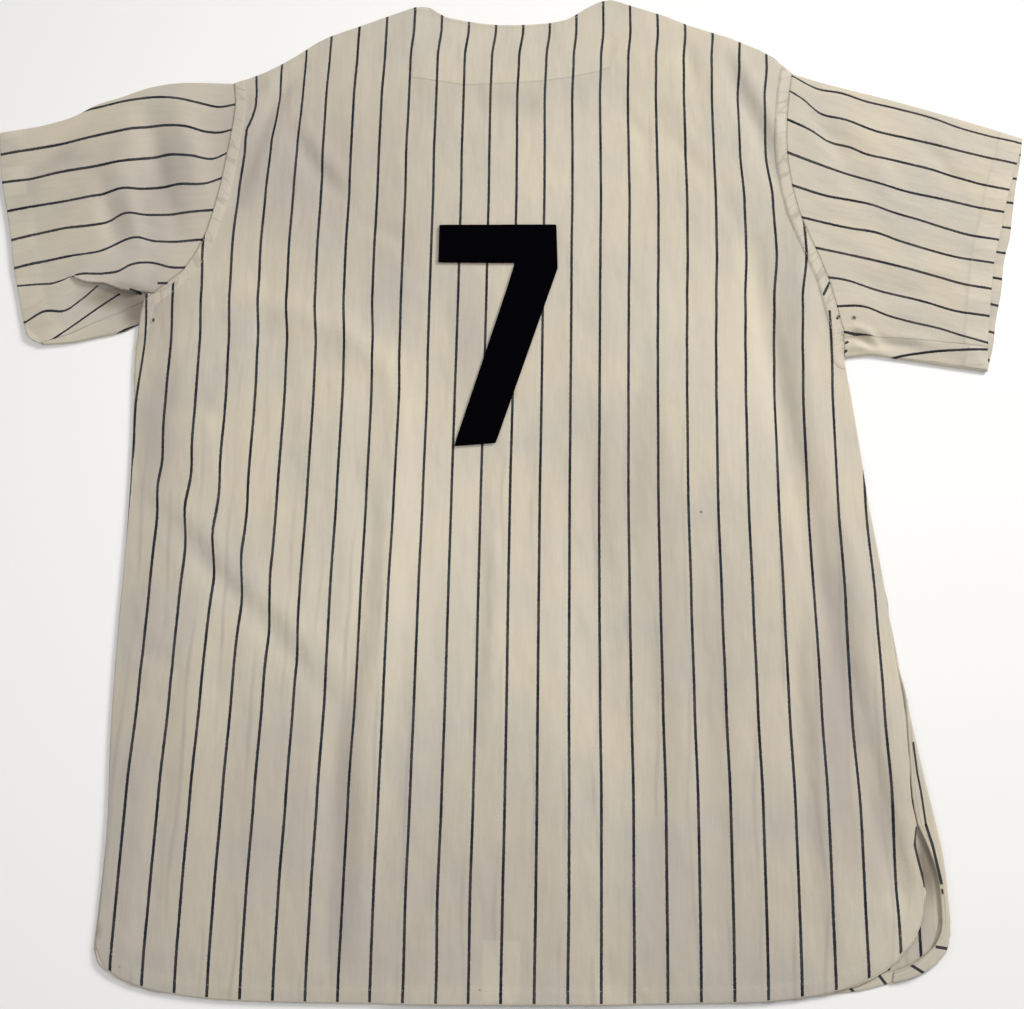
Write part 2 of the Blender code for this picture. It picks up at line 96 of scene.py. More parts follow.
BACK_NECK = [(-92.1, 429.5), (-77, 428), (-66, 420.8), (-40.3, 414.7), (-15.9, 411.9),
             (10.1, 412.4), (35.3, 414.8), (52, 419.3), (66, 429.2), (81, 437.5), (92.2, 440.3)]
RIGHT_SHOULDER = [(92.2, 440.3), (110, 434.5), (139.8, 425), (162, 415.5), (207.3, 399.6),
                  (240, 382.5), (257.9, 365.9)]
HEM_LEFT = [(-309.5, -402), (-305.5, -414), (-290.6, -424.8), (-270.8, -431.6), (-245.9, -436),
            (-220, -438.7), (-179.7, -440.1), (-110, -440.3)]
HEM_MIDDLE = [(-110, -440.3), (3.6, -439.3), (110, -437.6)]
HEM_RIGHT = [(110, -437.6), (156.3, -436.1), (206, -434.2), (240, -430), (262, -425.5),
             (286.3, -416.9), (301.4, -408), (311.9, -398.4), (322.7, -385.9), (329.7, -371),
             (333.4, -350)]

# Edges of the fronts, where they leave the back's
FRONT_VENT_LEFT = [(-311.5, -402), (-310.6, -375), (-309.9, -345), (-309.6, -302)]
FRONT_HEM_LEFT = [(-311.5, -402), (-306.5, -415), (-290.6, -425.2), (-270.8, -432),
                  (-245.9, -436), (-220, -438.7), (-190, -440), (-160, -440.3)]
FRONT_HEM_PLACKET_LEFT = [(-160, -440.3), (-60, -440), (PLACKET_HALF, -439.2)]
FRONT_HEM_PLACKET_RIGHT = [(-PLACKET_HALF, -439.5), (60, -438.4), (140, -436.6)]
FRONT_HEM_RIGHT = [(140, -436.6), (206, -434.4), (262, -427.5), (283.4, -424.4), (301.3, -419.8),
                   (317, -415.5), (330, -409.5), (341, -402.4), (348.2, -393), (350.7, -379)]
FRONT_VENT_RIGHT = [(350.7, -379), (350.4, -357.5), (348.1, -320.2), (344.8, -301)]
FRONT_SIDE_RIGHT = [(344.8, -301), (341.2, -282.2), (334.1, -243.5), (327.8, -204),
                    (322.9, -163.8), (317.1, -122.7), (312.1, -80.8), (306.3, -38), (302, 5.6),
                    (297.1, 50.2), (292.3, 89)]
NECKLINE_LEFT = [(-92.1, 429.5), (-84, 396), (-64, 362), (-36, 337), (-6, 322), (PLACKET_HALF, 313)]
NECKLINE_RIGHT = [(-PLACKET_HALF, 313), (6, 322), (38, 339), (66, 366), (85, 402), (92.2, 440.3)]
CENTRE_Y = (-439.3, -300, 85, 313)  # the ends of the rows' runs along the placket's edge

# The right front's strip that turns up over the side and round the vent's corner
TURN_OUTER = [
    [(323.8, -171), (327.8, -204), (334.1, -243.5), (341.2, -282.2), (344.8, -301)],
    [(344.8, -301), (348.1, -320.2), (350.4, -357.5), (350.7, -379), (348.2, -393),
     (341, -402.4), (330, -409.5), (317, -415.5), (305, -418.8)]]
TURN_INNER = [
    [(322.6, -171), (326.9, -201), (328.2, -250), (329, -286), (331.4, -301)],
    [(331.4, -301), (339.3, -320.4), (344.6, -340), (345.6, -361), (344.6, -380),
     (339.4, -390.2), (329.5, -399.6), (317.5, -407.2), (306.5, -411)]]

# Edges of the sleeves, from the armhole outwards and from the underarm up
LEFT_SLEEVE_TOP = [(-255.8, 347.2), (-317.3, 345.6), (-332.7, 342), (-358.4, 331.6),
                   (-379.7, 323.6), (-400.4, 311), (-424.2, 302.5), (-465.2, 293.8)]
LEFT_SLEEVE_UNDER = [(-322, 110), (-336.9, 102.5), (-357.4, 97.1), (-377.8, 92.2), (-403, 89.9)]
LEFT_CUFF = [(-403, 89.9), (-417, 97), (-422.6, 110), (-429.6, 134.2), (-437, 159.7),
             (-442.8, 187.4), (-449.7, 215.5), (-457.5, 243.9), (-465.2, 293.8)]
RIGHT_SLEEVE_TOP = [(257.9, 365.9), (278.8, 359), (349.4, 339.6), (413, 320.2), (465.2, 303)]
RIGHT_SLEEVE_UNDER = [(292.3, 89), (316.5, 91.4), (336.3, 89), (371.5, 84.1), (415.8, 78)]
RIGHT_CUFF_BACK = [(415.8, 78), (418.3, 107.9), (424.4, 151.9), (429.3, 181.4), (437.9, 211.4),
                   (442, 229), (452.9, 263.6), (461.8, 290), (465.2, 303)]
RIGHT_CUFF_FRONT = [(415.8, 78), (422.9, 102), (426.8, 123.7), (434, 152.9), (439.1, 182.5),
                    (446.2, 206), (449.8, 226.2), (456, 257.8), (461.8, 281.8), (465.2, 303)]

# The facing inside the back's neckline
FACING_LOWER = [(-87, 353), (-45, 346.5), (-20, 348), (5.5, 349.4), (29.4, 351.9),
                (50.5, 355.3), (75, 361.5), (88, 366)]
FACING_UPPER = [(-87, 423), (-74, 421), (-63, 415), (-40, 410), (-15, 407.4), (10, 407.8),
                (35, 410), (52, 414.5), (66, 423.5), (80, 431), (88, 433.5)]

# The number, as runs along its outer and inner outlines: bar, corner, leg
NUMBER_OUTER = [[(-62, 204.8), (41, 206.8)], [(41, 206.8), (42.5, 166)], [(42.5, 166), (-8.9, 5.3)]]
NUMBER_INNER = [[(-61.8, 170), (6.4, 170.6)], [(6.4, 170.6), (-0.5, 145.8)], [(-0.5, 145.8), (-42.7, 2)]]

# The line of the underarm seam on each sleeve, from the armhole to the cuff
LEFT_SLEEVE_SEAM = [(-318.8, 128), (-338, 119.5), (-358.4, 110.5), (-380, 100), (-405, 91.5)]
RIGHT_SLEEVE_SEAM = [(292.4, 106), (304, 108), (316, 107.4), (360, 105), (417.3, 100.4)]
print("runs on the back:", len(HEM_LEFT) + len(HEM_MIDDLE) + len(HEM_RIGHT), "points along the hem")

# %% [markdown]
# ## From four edges to a panel
# A panel's plan is blended from its four edges (a Coons patch): each inner point takes its place from
# the left and right edges and from the lower and upper ones. It keeps every outline exact, and its rows
# and columns can lie closer together where a seam or a hem needs them.

# %% Curves and panels
def curve(points, t):
    """Points of a smooth curve through a table, at the fractions t of its length."""
    p = np.array(points, dtype=float)
    s = np.concatenate(([0.0], np.cumsum(np.hypot(*np.diff(p, axis=0).T))))
    step = np.diff(s)[:, None]
    slope = np.diff(p, axis=0) / step
    inner = (slope[:-1] * step[1:] + slope[1:] * step[:-1]) / (step[:-1] + step[1:])
    tangent = np.vstack((slope[:1], inner, slope[-1:]))
    at = np.clip(np.asarray(t, dtype=float), 0, 1) * s[-1]
    i = np.clip(np.searchsorted(s, at, side="right") - 1, 0, len(p) - 2)
    h = (s[i + 1] - s[i])[..., None]
    f = ((at - s[i]) / (s[i + 1] - s[i]))[..., None]
    return (p[i] * (2 * f**3 - 3 * f**2 + 1) + tangent[i] * h * (f**3 - 2 * f**2 + f)
            + p[i + 1] * (3 * f**2 - 2 * f**3) + tangent[i + 1] * h * (f**3 - f**2))


def along(runs, t):
    """A point on an edge made of runs, each of which takes an equal share of t."""
    t = np.asarray(t, dtype=float)
    scaled = np.clip(t, 0, 1) * len(runs)
    which = np.minimum(scaled.astype(int), len(runs) - 1)
    out = np.zeros(t.shape + (2,))
    for index, run in enumerate(runs):
        out[which == index] = curve(run, (scaled - index)[which == index])
    return out


def patch(bottom, top, left, right, u, v):
    """A sheet's plan from its four edges: u runs to the right and v upwards."""
    u, v = u[None, :, None], v[:, None, None]
    low, high = along(bottom, u[..., 0]), along(top, u[..., 0])
    west, east = along(left, v[..., 0]), along(right, v[..., 0])
    corners = ((1 - v) * ((1 - u) * low[:, :1] + u * low[:, -1:])
               + v * ((1 - u) * high[:, :1] + u * high[:, -1:]))
    return (1 - v) * low + v * high + (1 - u) * west + u * east - corners


def distance(x, y, points):
    """Distance from each (x, y) to a line of points, and the share of its length there."""
    p = np.array(points, dtype=float)
    lengths = np.hypot(*np.diff(p, axis=0).T)
    before = np.concatenate(([0.0], np.cumsum(lengths)))
    best, share = np.full(np.shape(x), np.inf), np.zeros(np.shape(x))
    for i, length in enumerate(lengths):
        d = (p[i + 1] - p[i]) / length
        f = np.clip((x - p[i, 0]) * d[0] + (y - p[i, 1]) * d[1], 0, length)
        away = np.hypot(x - p[i, 0] - d[0] * f, y - p[i, 1] - d[1] * f)
        closer = away < best
        best, share = np.where(closer, away, best), np.where(closer, (before[i] + f) / before[-1], share)
    return best, share


def smooth_line(runs, steps_a_run=12):
    """The points of an edge's smooth curve, close together, for measuring distances to it."""
    lines = [curve(run, np.linspace(0, 1, steps_a_run + 1))[1:] for run in runs]
    return np.vstack([runs[0][:1]] + lines)


def ramp(x):
    """0 below 0, 1 above 1, smooth between."""
    x = np.clip(x, 0, 1)
    return x * x * (3 - 2 * x)


def smooth_max(a, b, blend=0.35):
    """The larger of two heights, rounded off where they meet."""
    return 0.5 * (a + b + np.sqrt((a - b) ** 2 + blend**2))


OUTLINE = smooth_line([
    LEFT_CUFF[::-1], LEFT_SLEEVE_UNDER[::-1], LEFT_SIDE[::-1], FRONT_VENT_LEFT[::-1],
    FRONT_HEM_LEFT, FRONT_HEM_PLACKET_LEFT, FRONT_HEM_PLACKET_RIGHT[1:], FRONT_HEM_RIGHT,
    FRONT_VENT_RIGHT, FRONT_SIDE_RIGHT, RIGHT_SLEEVE_UNDER, RIGHT_CUFF_FRONT,
    RIGHT_SLEEVE_TOP[::-1], RIGHT_SHOULDER[::-1], BACK_NECK[::-1], LEFT_SHOULDER[::-1],
    LEFT_SLEEVE_TOP], 8)
print("outline:", len(OUTLINE), "points round the jersey")

# %% [markdown]
# ## How the cloth lies
# Two layers of flannel are about 3 mm high at the edges. Inside, the back rises a little over trapped
# air, over the button placket below it and over the facing inside the neck. Creases are drawn on top of
# that as soft troughs and ridges, each along its own line, with its own width and height.

# %% Lie of the cloth
WALL = 1.1  # wool flannel
GAP = 0.3  # between pieces that are sewn or lie together
FELT = 1.0
FACING = 0.9
EDGE_HEIGHT = 2.7  # of the upper side at the jersey's outline
LOFT = 4.4  # how far it rises inside, over about LOFT_REACH
LOFT_REACH = 26.0
BUTTON_RISE = 2.3
# A placket is lifted by the buttons between two x, up to a short way below the facing's edge
LEFT_PLACKET = {"height": BUTTON_RISE, "flat": (-32, 24), "short": 9}
RIGHT_PLACKET = {"height": BUTTON_RISE + WALL + GAP, "flat": (-24, 44), "short": 2}
PLACKET_SLOPE = 46  # the width of the slope on each side of it
PLACKET_FADE = 14  # the length over which it ends
SLANT_FROM = 44  # to the right of this x it ends lower, by this slope
SLANT = 1.2
OVER_PLACKET = (-52, 68)  # the same for the back above it
OVER_PLACKET_SLOPE = 62
OVER_PLACKET_END = (380, 40)
FACING_LEAD = 46  # the back starts to rise this far below the facing's edge
FACING_REACH = 132  # and this far to each side of the middle
FACING_FADE = 34
RIPPLE_LEAST = 0.07
RIPPLE_MORE = 0.22  # what is added from RIPPLE_FROM down, over RIPPLE_OVER
RIPPLE_FROM = 180
RIPPLE_OVER = 240
BUNCHED_REACH = 7
CLEARANCE = 0.1  # the lowest height counts once it comes this near, and wholly after CLEARANCE_FADE
CLEARANCE_FADE = 0.4


def rise(x, flat, length):
    """1 between the two x of flat, down to 0 over a length on each side."""
    return ramp((x - flat[0] + length) / length) * ramp((flat[1] + length - x) / length)


def facing_edge(x):
    """y of the facing's lower edge."""
    return np.interp(x, *np.array(FACING_LOWER).T)


def front_floor(x, y, placket):
    """Underside of a front: on the table, apart from its placket."""
    short = placket["short"] + SLANT * np.maximum(0, x - SLANT_FROM)
    below = ramp((facing_edge(x) - short - y) / PLACKET_FADE)
    return placket["height"] * rise(x, placket["flat"], PLACKET_SLOPE) * below


def needed(x, y):
    """The lowest that the back's top may be: it clears the placket and the neck facing."""
    end, fade = OVER_PLACKET_END
    placket = RIGHT_PLACKET["height"] + WALL
    placket = placket * rise(x, OVER_PLACKET, OVER_PLACKET_SLOPE) * ramp((end - y) / fade)
    over = ramp((y - facing_edge(x) + FACING_LEAD) / FACING_FADE)
    facing = WALL + GAP + FACING * over * ramp((FACING_REACH - abs(x)) / FACING_FADE)
    return np.maximum(smooth_max(placket, np.full_like(x, WALL)), facing) + GAP + WALL


# Creases: height (minus for a trough), half width, points along them
CREASES = [
    (-2.8, 10, [(-318, -44), (-273.5, -71), (-245.8, -105), (-206, -138), (-153, -194), (-140, -214)]),
    (1.6, 13, [(-296, -44), (-252, -74), (-224, -108), (-184, -142), (-138, -190)]),
    (2.2, 12, [(-244.7, 142.9), (-180, 120), (-136.9, 101), (-105.3, 74), (-92.7, 34.8),
               (-91, -12), (-98, -60)]),
    (-0.9, 13, [(-214, 108), (-165, 84), (-130, 56), (-120, 10), (-128, -60)]),
    (-3.0, 10, [(-108, -40), (-114, -110), (-119, -178.9), (-131, -250.9), (-129, -330), (-128, -410)]),
    (2.4, 12, [(-90, -40), (-94, -120), (-102, -190), (-108, -260), (-104, -330), (-102, -400)]),
    (-1.4, 14, [(-214, 150), (-200, 90), (-190, 20), (-194, -50)]),
    (-5.4, 11, [(214, 190), (221, 149.6), (232, 66.6), (247, -13.4), (258, -82), (268.8, -140.3),
                (281, -196.9), (294, -259.8), (304.3, -305.6), (314, -350)]),
    (3.0, 12, [(258, 160), (262, 60), (273, -10), (293, -110), (309, -190), (322, -262)]),
    (-3.0, 9, [(278, -190), (290, -240), (300, -286), (308, -320), (316, -360)]),
    (-1.8, 8, [(256, -76), (240, -170), (244, -300), (252, -400)]),
    (1.8, 8, [(268, -90), (252, -180), (257, -300), (265, -390)]),
    (-4.6, 10, [(-196, 366), (-226, 314), (-246, 224)]),
    (2.6, 9, [(-206, 376), (-228, 330), (-238, 262)]),
    (-1.8, 8, [(-200, 300), (-178, 262), (-146, 232)]),
    (1.2, 9, [(-190, 306), (-166, 268), (-138, 240)]),
    (-3.4, 10, [(194, 398), (204, 356), (224, 306), (234, 262)]),
    (2.6, 9, [(206, 390), (222, 344), (240, 300)]),
    (-2.2, 8, [(154, 402), (162, 380), (168, 352)]),
    (-3.6, 12, [(-338, 332), (-320, 268.1), (-296, 196)]),
    (2.6, 12, [(-306, 330), (-288, 280), (-276, 232)]),
    (-3.2, 12, [(-450, 232), (-414, 275), (-380, 316)]),
    (3.0, 14, [(-398, 205), (-356, 240), (-346, 290)]),
    (-1.8, 8, [(-432, 146), (-402, 172), (-374, 181)]),
    (-2.6, 9, [(-366, 242), (-358, 214), (-346, 178)]),
    (2.0, 8, [(-344, 248), (-336, 214), (-326, 182)]),
    (-1.8, 8, [(362, 298), (386, 279), (400, 254)]),
    (1.4, 12, [(300, 320), (330, 290), (338, 240)]),
    (-1.8, 10, [(272, 328), (292, 296), (308, 258)]),
    (-1.4, 9, [(298, 166), (328, 148), (360, 146)]),
    (1.2, 9, [(312, 186), (350, 172), (390, 170)]),
    (-1.4, 12, [(-270, -180), (-268, -280), (-276, -390)]),
    (1.2, 13, [(-240, -190), (-238, -290), (-242, -400)]),
    (-1.4, 12, [(160, -130), (168, -290), (172, -400)]),
    (1.4, 12, [(136, 60), (142, -60), (146, -200), (148, -330)]),
    (-1.4, 12, [(104, 150), (112, 40), (110, -80)]),
    (-2.2, 6, [(-22, -10), (-20, -80), (-18, -150), (-24, -236)]),
    (1.4, 8, [(-8, -30), (-6, -120), (-8, -230)]),
    (1.2, 13, [(40, -20), (44, -140), (42, -300)]),
    (-1.2, 12, [(66, 10), (78, -90), (84, -210)]),
    (-1.1, 6, [(-18, 350), (-6, 370), (-2, 392)]),
    (-1.6, 5, [(-38, 347), (-30, 334), (-26, 320)]),
    (1.2, 7, [(44, 352), (30, 336), (20, 320)]),
    (-2.0, 8, [(-134, 210), (-100, 192), (-74, 146)]),
    (1.4, 9, [(-118, 200), (-90, 176), (-70, 134)]),
    (-1.2, 7, [(96, 330), (120, 296), (126, 250)]),
    (1.2, 9, [(150, 340), (164, 290), (190, 236)]),
    (-1.2, 9, [(140, 300), (172, 268), (206, 210)]),
    (-1.2, 5, [(-64.7, -401), (-53.5, -392), (-40.4, -388), (-26.6, -381)]),
    (-1.0, 7, [(-262, 40), (-236, 20), (-214, 26)]),
    (-1.0, 7, [(-306, 60), (-286, 34), (-262, 28)]),
    (-1.3, 6, [(-310, -150), (-292, -176), (-262, -190)]),
]
# Small tight folds where the right sleeve bunches under the arm
BUNCHED = [
    (2.4, 4.5, [(293, 112), (301, 116), (312, 112), (322, 104)]),
    (-2.2, 4, [(294, 104), (302, 107), (310, 104), (317, 98)]),
    (1.8, 4, [(294, 97), (303, 99), (312, 96), (326, 92)]),
    (-1.6, 4.5, [(318, 108), (328, 102), (342, 100), (356, 99)]),
    (1.3, 5, [(330, 108), (350, 106), (372, 102)]),
]


def crease_sum(x, y, creases):
    """Height that a list of creases adds, each fading out towards its two ends."""
    total = np.zeros(np.shape(x))
    for height, half_width, points in creases:
        away, share = distance(x, y, points)
        fade = np.sin(math.pi * (0.08 + 0.84 * share)) ** 0.6
        total += height * fade * np.exp(-((away / half_width) ** 2))
    return total


def ripples(x, y):
    """The slight, uneven waves that run down the cloth between its creases, deeper to the hem."""
    wander = 6 * np.sin(y / 83 + 1.3) + 9 * np.sin(y / 151 + x / 290)
    wave = (np.sin((x + wander) / 4.6) * (0.5 + 0.5 * np.sin(x / 37 + y / 140))
            + 0.7 * np.sin((x - 0.6 * wander) / 7.9 + 1.1) * (0.5 + 0.5 * np.sin(y / 96 - x / 61)))
    return wave * (RIPPLE_LEAST + RIPPLE_MORE * ramp((RIPPLE_FROM - y) / RIPPLE_OVER))


def lie(x, y):
    """Height of the upper side where the jersey lies."""
    inside, _ = distance(x, y, OUTLINE)
    loft = 1 - np.exp(-inside / LOFT_REACH)
    height = EDGE_HEIGHT + LOFT * loft + loft * (crease_sum(x, y, CREASES) + ripples(x, y))
    height += ramp(inside / BUNCHED_REACH) * crease_sum(x, y, BUNCHED)
    height = np.maximum(height, EDGE_HEIGHT)
    lowest = needed(x, y)
    close = ramp((lowest - EDGE_HEIGHT + CLEARANCE) / CLEARANCE_FADE)
    return height + close * (smooth_max(height, lowest) - height)


def roll(height, inside, radius=1.2, drop=0.9):
    """Rounds a cut or folded edge off: the height falls over the last bit before it."""
    near = np.clip(1 - inside / radius, 0, 1)
    return height - drop * (1 - np.sqrt(1 - near**2))


middle = lie(np.array([0.0, -200.0]), np.array([0.0, 0.0]))
print("height over the placket and beside it:", middle.round(2), "mm")

# %% [markdown]
# ## Where the pinstripes run
# The stripes are woven 25.4 mm (an inch) apart, so they count the cloth: stripe 0 runs down the middle.
# On the table the cloth is not quite even, and each stripe drifts a few millimetres to the side. The
# tables give that drift on the back, and the run of each stripe on the sleeves. Read the other way
# round, they turn any place on the panel into a place on the bolt of cloth, and that is its UV map.

# %% Stripes
PITCH = 25.4
STRIPE_ZERO = 55.2  # x of stripe 0
DRIFT_STRIPES = (-15, -12, -9, -7, -6, -4, -2, 0, 2, 5, 7, 8, 10)
DRIFT = {  # at each y, from the neck down: how far those stripes lie to the right of their even place
    407: (5, 5, 5, 5.1, 5.5, 5.3, 5.1, 3.7, 3, 3.5, 3.5, 3.5, 3.5),
    375: (13.6, 15, 4.8, 5.1, 3.4, 2.4, 1.7, 1.2, 0.7, 1.4, 1.6, 1.6, 1.6),
    334: (21.5, 16, 3.8, 3.8, 3.4, 2.4, 0.6, 0, 0, 0.6, -2.3, -3, -3),
    318: (17.4, 14.5, 3.8, 3.8, 3.3, 2.4, 0.7, 0.1, 0.1, 0.7, -2.4, -3, -3),
    283: (12, 9.4, 3.8, 3.7, 2.8, 2.2, 1.1, 0.5, 0.4, 1.1, -2.6, -3, -3),
    234: (8, 6.3, 4.5, 4, 3.6, 2.7, 1.4, 0.6, 0.9, 1.8, 1.8, 2.5, 3),
    185: (3, 5, 3.9, 3.5, 3.5, 2.6, 1.2, 0.1, 0.3, 1.4, 3.4, 4.2, 4),
    138: (7, 5.9, 4.5, 3.8, 3.5, 2.7, 1.2, 0.1, -0.4, -0.2, 0, -1.2, -5.2),
    91: (8.9, 8.3, 7.6, 6.2, 4, 2.5, 1.1, 0, -0.9, -1.5, -1.4, -3, -1.9),
    46: (7.6, 9.4, 8.2, 7, 5.5, 2.2, 1, -0.2, -1.3, -2.3, -2.5, -4.3, -3.3),
    -42: (9.5, 8.3, 7.6, 6.6, 4.5, 1.9, 0.2, -0.5, -1.9, -3, -2.9, -2.9, -5.5),
    -127: (8.7, 9, 6.1, 5.4, 2.9, 1.6, 0.1, -0.4, -1.5, -1.9, -1.7, -1.4, -1.9),
    -209: (7.3, 7.3, 6.4, 5.1, 2.4, 1.5, 0.3, -0.3, -0.8, -0.7, -0.6, -0.5, -0.3),
    -287: (4.2, 5.4, 4.9, 3.3, 1.8, 1, 0.2, 0.3, 0.3, 0.9, 1.3, 1.5, 2.5),
    -362: (4, 4.4, 3.4, 2.6, 1.2, 0, -0.2, 0.5, 0.1, 0.9, 1.4, 1.6, 1.8),
    -424: (3.9, 3.7, 3.1, 2, 1.1, 1, -0.4, 0, 0.3, 0.7, 1.6, 2.4, 2.4),
}
# Where creases bend the stripes, below the left arm, beside it and on the left shoulder: the shift to
# the right, the half width and the points along each bend
KINKS = [
    (1.7, 15, [(-312, 0), (-290.3, -12), (-264.6, -22.8), (-241, -40), (-212.6, -62)]),
    (-1.5, 11, [(-308.5, -20), (-291.6, -35), (-267, -54.6), (-243, -76), (-218, -93), (-193, -110)]),
    (1.6, 17, [(-290, -62), (-265, -94), (-240, -112), (-215, -132), (-190, -162), (-166, -176)]),
    (2.4, 11, [(-318, 165), (-318.5, 120), (-320.5, 90), (-324, 55)]),
    (-2.8, 11, [(-236, 388), (-236, 352)]),
    (1.7, 9, [(-234, 327), (-234, 317)]),
    (-1.9, 9, [(-239, 303), (-239.5, 294)]),
]
LEFT_SLEEVE_STRIPES = [  # from the shoulder down, each from the cuff to the armhole
    [(-465, 301), (-430, 309), (-379, 320), (-351, 327.6), (-327, 331), (-305, 329.3), (-284, 324.5),
     (-266, 320.8), (-252, 324)],
    [(-460, 271), (-438, 274.5), (-408, 282), (-359, 294), (-318, 301.4), (-295, 299.2), (-276, 294.6),
     (-262, 294.6), (-252, 298)],
    [(-456, 243.3), (-431, 246.7), (-403, 253), (-343, 264.4), (-308, 272), (-286, 269.2), (-269, 267.2),
     (-255, 274.4)],
    [(-450, 215), (-424, 219.3), (-366, 230), (-347, 236), (-331, 236.7), (-298, 242.6), (-275, 242),
     (-258, 249.5)],
    [(-443, 187), (-395, 197.4), (-361, 203.7), (-344, 212.4), (-325, 211.5), (-295, 214.3),
     (-262, 217.6)],
    [(-438, 160), (-393, 170.5), (-359, 176), (-342, 186.6), (-331, 189.5), (-314, 186.4),
     (-301, 186.3), (-270, 188.8)],
    [(-431, 133.8), (-412, 138), (-390, 142), (-383, 150.6), (-354, 154), (-343, 156), (-333, 162.6),
     (-317, 166), (-295, 161.5), (-283, 161.7)],
]
LEFT_SLEEVE_STRIPES_BELOW = [  # those that come out from under the fold
    [(-421, 109.6), (-404, 119.6), (-387, 119.8), (-375, 129), (-356, 148), (-340, 162)],
    [(-401, 89.6), (-379, 106.6), (-350, 129.5), (-336, 140), (-320, 152)],
]
STRIPE_BELOW_SEAM = {  # the one stripe that shows under each arm
    "left": [(-410, 58), (-345, 97.5), (-334, 104), (-322, 109)],
    "right": [(290, 66), (320, 84), (337.2, 89.5), (366.7, 94.6), (418, 98)],
}
RIGHT_SLEEVE_STRIPES = [
    [(258, 362.5), (280, 349.3), (303, 345.2), (322, 337.8), (350, 330.7), (387, 320), (407, 311.6),
     (433, 303.8), (464, 296.5)],
    [(250, 349.5), (267, 337.4), (282, 322.7), (303, 316.8), (329, 306), (371, 296.6), (406, 287.2),
     (433, 280.6), (458, 276.5)],
    [(248, 317.5), (273, 305), (287, 295.2), (307, 288.7), (320, 281.8), (349, 275.3), (379, 267.8),
     (424, 253.8), (450, 249.8)],
    [(246, 284), (285, 268.3), (313, 258.8), (353, 245.7), (388, 238.3), (421, 231), (445, 228)],
    [(250, 251), (284, 239.7), (305, 236), (322, 232.4), (339, 225.8), (366, 217.5), (388, 210),
     (407, 204.6), (438, 200.8)],
    [(257, 219.4), (303, 208.7), (326, 205), (344, 197.9), (364, 191.4), (394, 183.2), (432, 178.5)],
    [(268, 190.3), (295, 184.5), (336, 174.6), (376, 164), (403, 157), (428, 154)],
    [(278, 162), (296, 159.7), (320, 151.7), (361, 141), (390, 132.2), (424, 128.4)],
    [(285, 134.6), (310, 135.3), (333, 126.5), (353, 121), (376, 115.8), (397, 109), (420, 103.2)],
    [(288, 111.8), (315, 107.6), (350, 98), (420, 82)],
]


def drift_at(number, y):
    """Drift of the stripes with these numbers at these y, smooth between the rows of the table."""
    rows = sorted(DRIFT)
    table = np.array([DRIFT[row] for row in rows], dtype=float)
    at = np.clip(np.searchsorted(rows, y) - 1, 0, len(rows) - 2)
    share = ramp((y - np.take(rows, at)) / (np.take(rows, at + 1) - np.take(rows, at)))
    blended = np.zeros(np.shape(y))
    for row in range(len(rows)):
        weight = np.where(at == row, 1 - share, 0) + np.where(at + 1 == row, share, 0)
        blended += weight * np.interp(number, DRIFT_STRIPES, table[row])
    return blended


def stripe_on_back(x, y):
    """Number of the stripe at a place on the body, with fractions between stripes."""
    even = x - STRIPE_ZERO - crease_sum(x, y, KINKS)
    number = even / PITCH
    for _ in range(4):  # each round brings the number closer
        number = (even - drift_at(number, y)) / PITCH
    return number


BEYOND = 0.85  # less than a stripe, so that none shows above the first line or below the last


def stripe_among(lines, x, y, first=1):
    """Number of the stripe at a place on a sleeve, from the lines of the stripes, top one first."""
    heights = np.stack([np.interp(x, *curve(line, np.linspace(0, 1, 40)).T) for line in lines])
    number = first + np.maximum((heights[0] - y) / PITCH, -BEYOND)
    for i in range(len(lines) - 1):
        between = (heights[i] - y) / (heights[i] - heights[i + 1])
        number = np.where(y < heights[i], first + i + between, number)
    below = first + len(lines) - 1 + np.minimum((heights[-1] - y) / PITCH, BEYOND)
    return np.where(y < heights[-1], below, number)


check_at = stripe_on_back(np.array([STRIPE_ZERO, STRIPE_ZERO - 12 * PITCH + 8.3]), np.array([-42.0, -42.0]))
print("stripe numbers at two measured places:", check_at.round(2), "(should be near 0 and -12)")

# %% [markdown]
# ## Small helpers for materials
# A material is a chain of nodes. These helpers add one node at a time and set or link its inputs, so a
# finish below reads as a recipe. What is the same all over a surface is set on the shader's own socket.

# %% Material helpers
def new_material(name, colour, roughness):
    """A material with its tree and its shader, and its plain values set on the shader."""
    made = bpy.data.materials.new(name)
    made.use_nodes = True
    shader = made.node_tree.nodes["Principled BSDF"]
    shader.inputs["Base Color"].default_value = (*colour, 1)
    shader.inputs["Roughness"].default_value = roughness
    return made, made.node_tree, shader


def add(tree, kind, inputs=None, **settings):
    """A new node with its settings, each input linked to a socket or given a value."""
    made = tree.nodes.new(kind)
    for key, value in settings.items():
        setattr(made, key, value)
    for key, value in (inputs or {}).items():
        if isinstance(value, bpy.types.NodeSocket):
            tree.links.new(value, made.inputs[key])
        else:
            made.inputs[key].default_value = value
    return made


def maths(tree, operation, a, b=0.0):
    return add(tree, "ShaderNodeMath", {0: a, 1: b}, operation=operation).outputs[0]


def times(tree, a, b):
    return maths(tree, "MULTIPLY", a, b)


def vector(tree, operation, a, b=(0, 0, 0), output="Vector"):
    return add(tree, "ShaderNodeVectorMath", {0: a, 1: b}, operation=operation).outputs[output]


def object_place(tree):
    return add(tree, "ShaderNodeTexCoord").outputs["Object"]


def stretched(tree, place, scale):
    return add(tree, "ShaderNodeMapping", {"Vector": place, "Scale": scale}).outputs["Vector"]


def bump(tree, height, distance, strength, before=None):
    """The normal of a bump, on top of the one before it."""
    inputs = {"Height": height, "Distance": distance, "Strength": strength}
    if before is not None:
        inputs["Normal"] = before
    return add(tree, "ShaderNodeBump", inputs).outputs["Normal"]


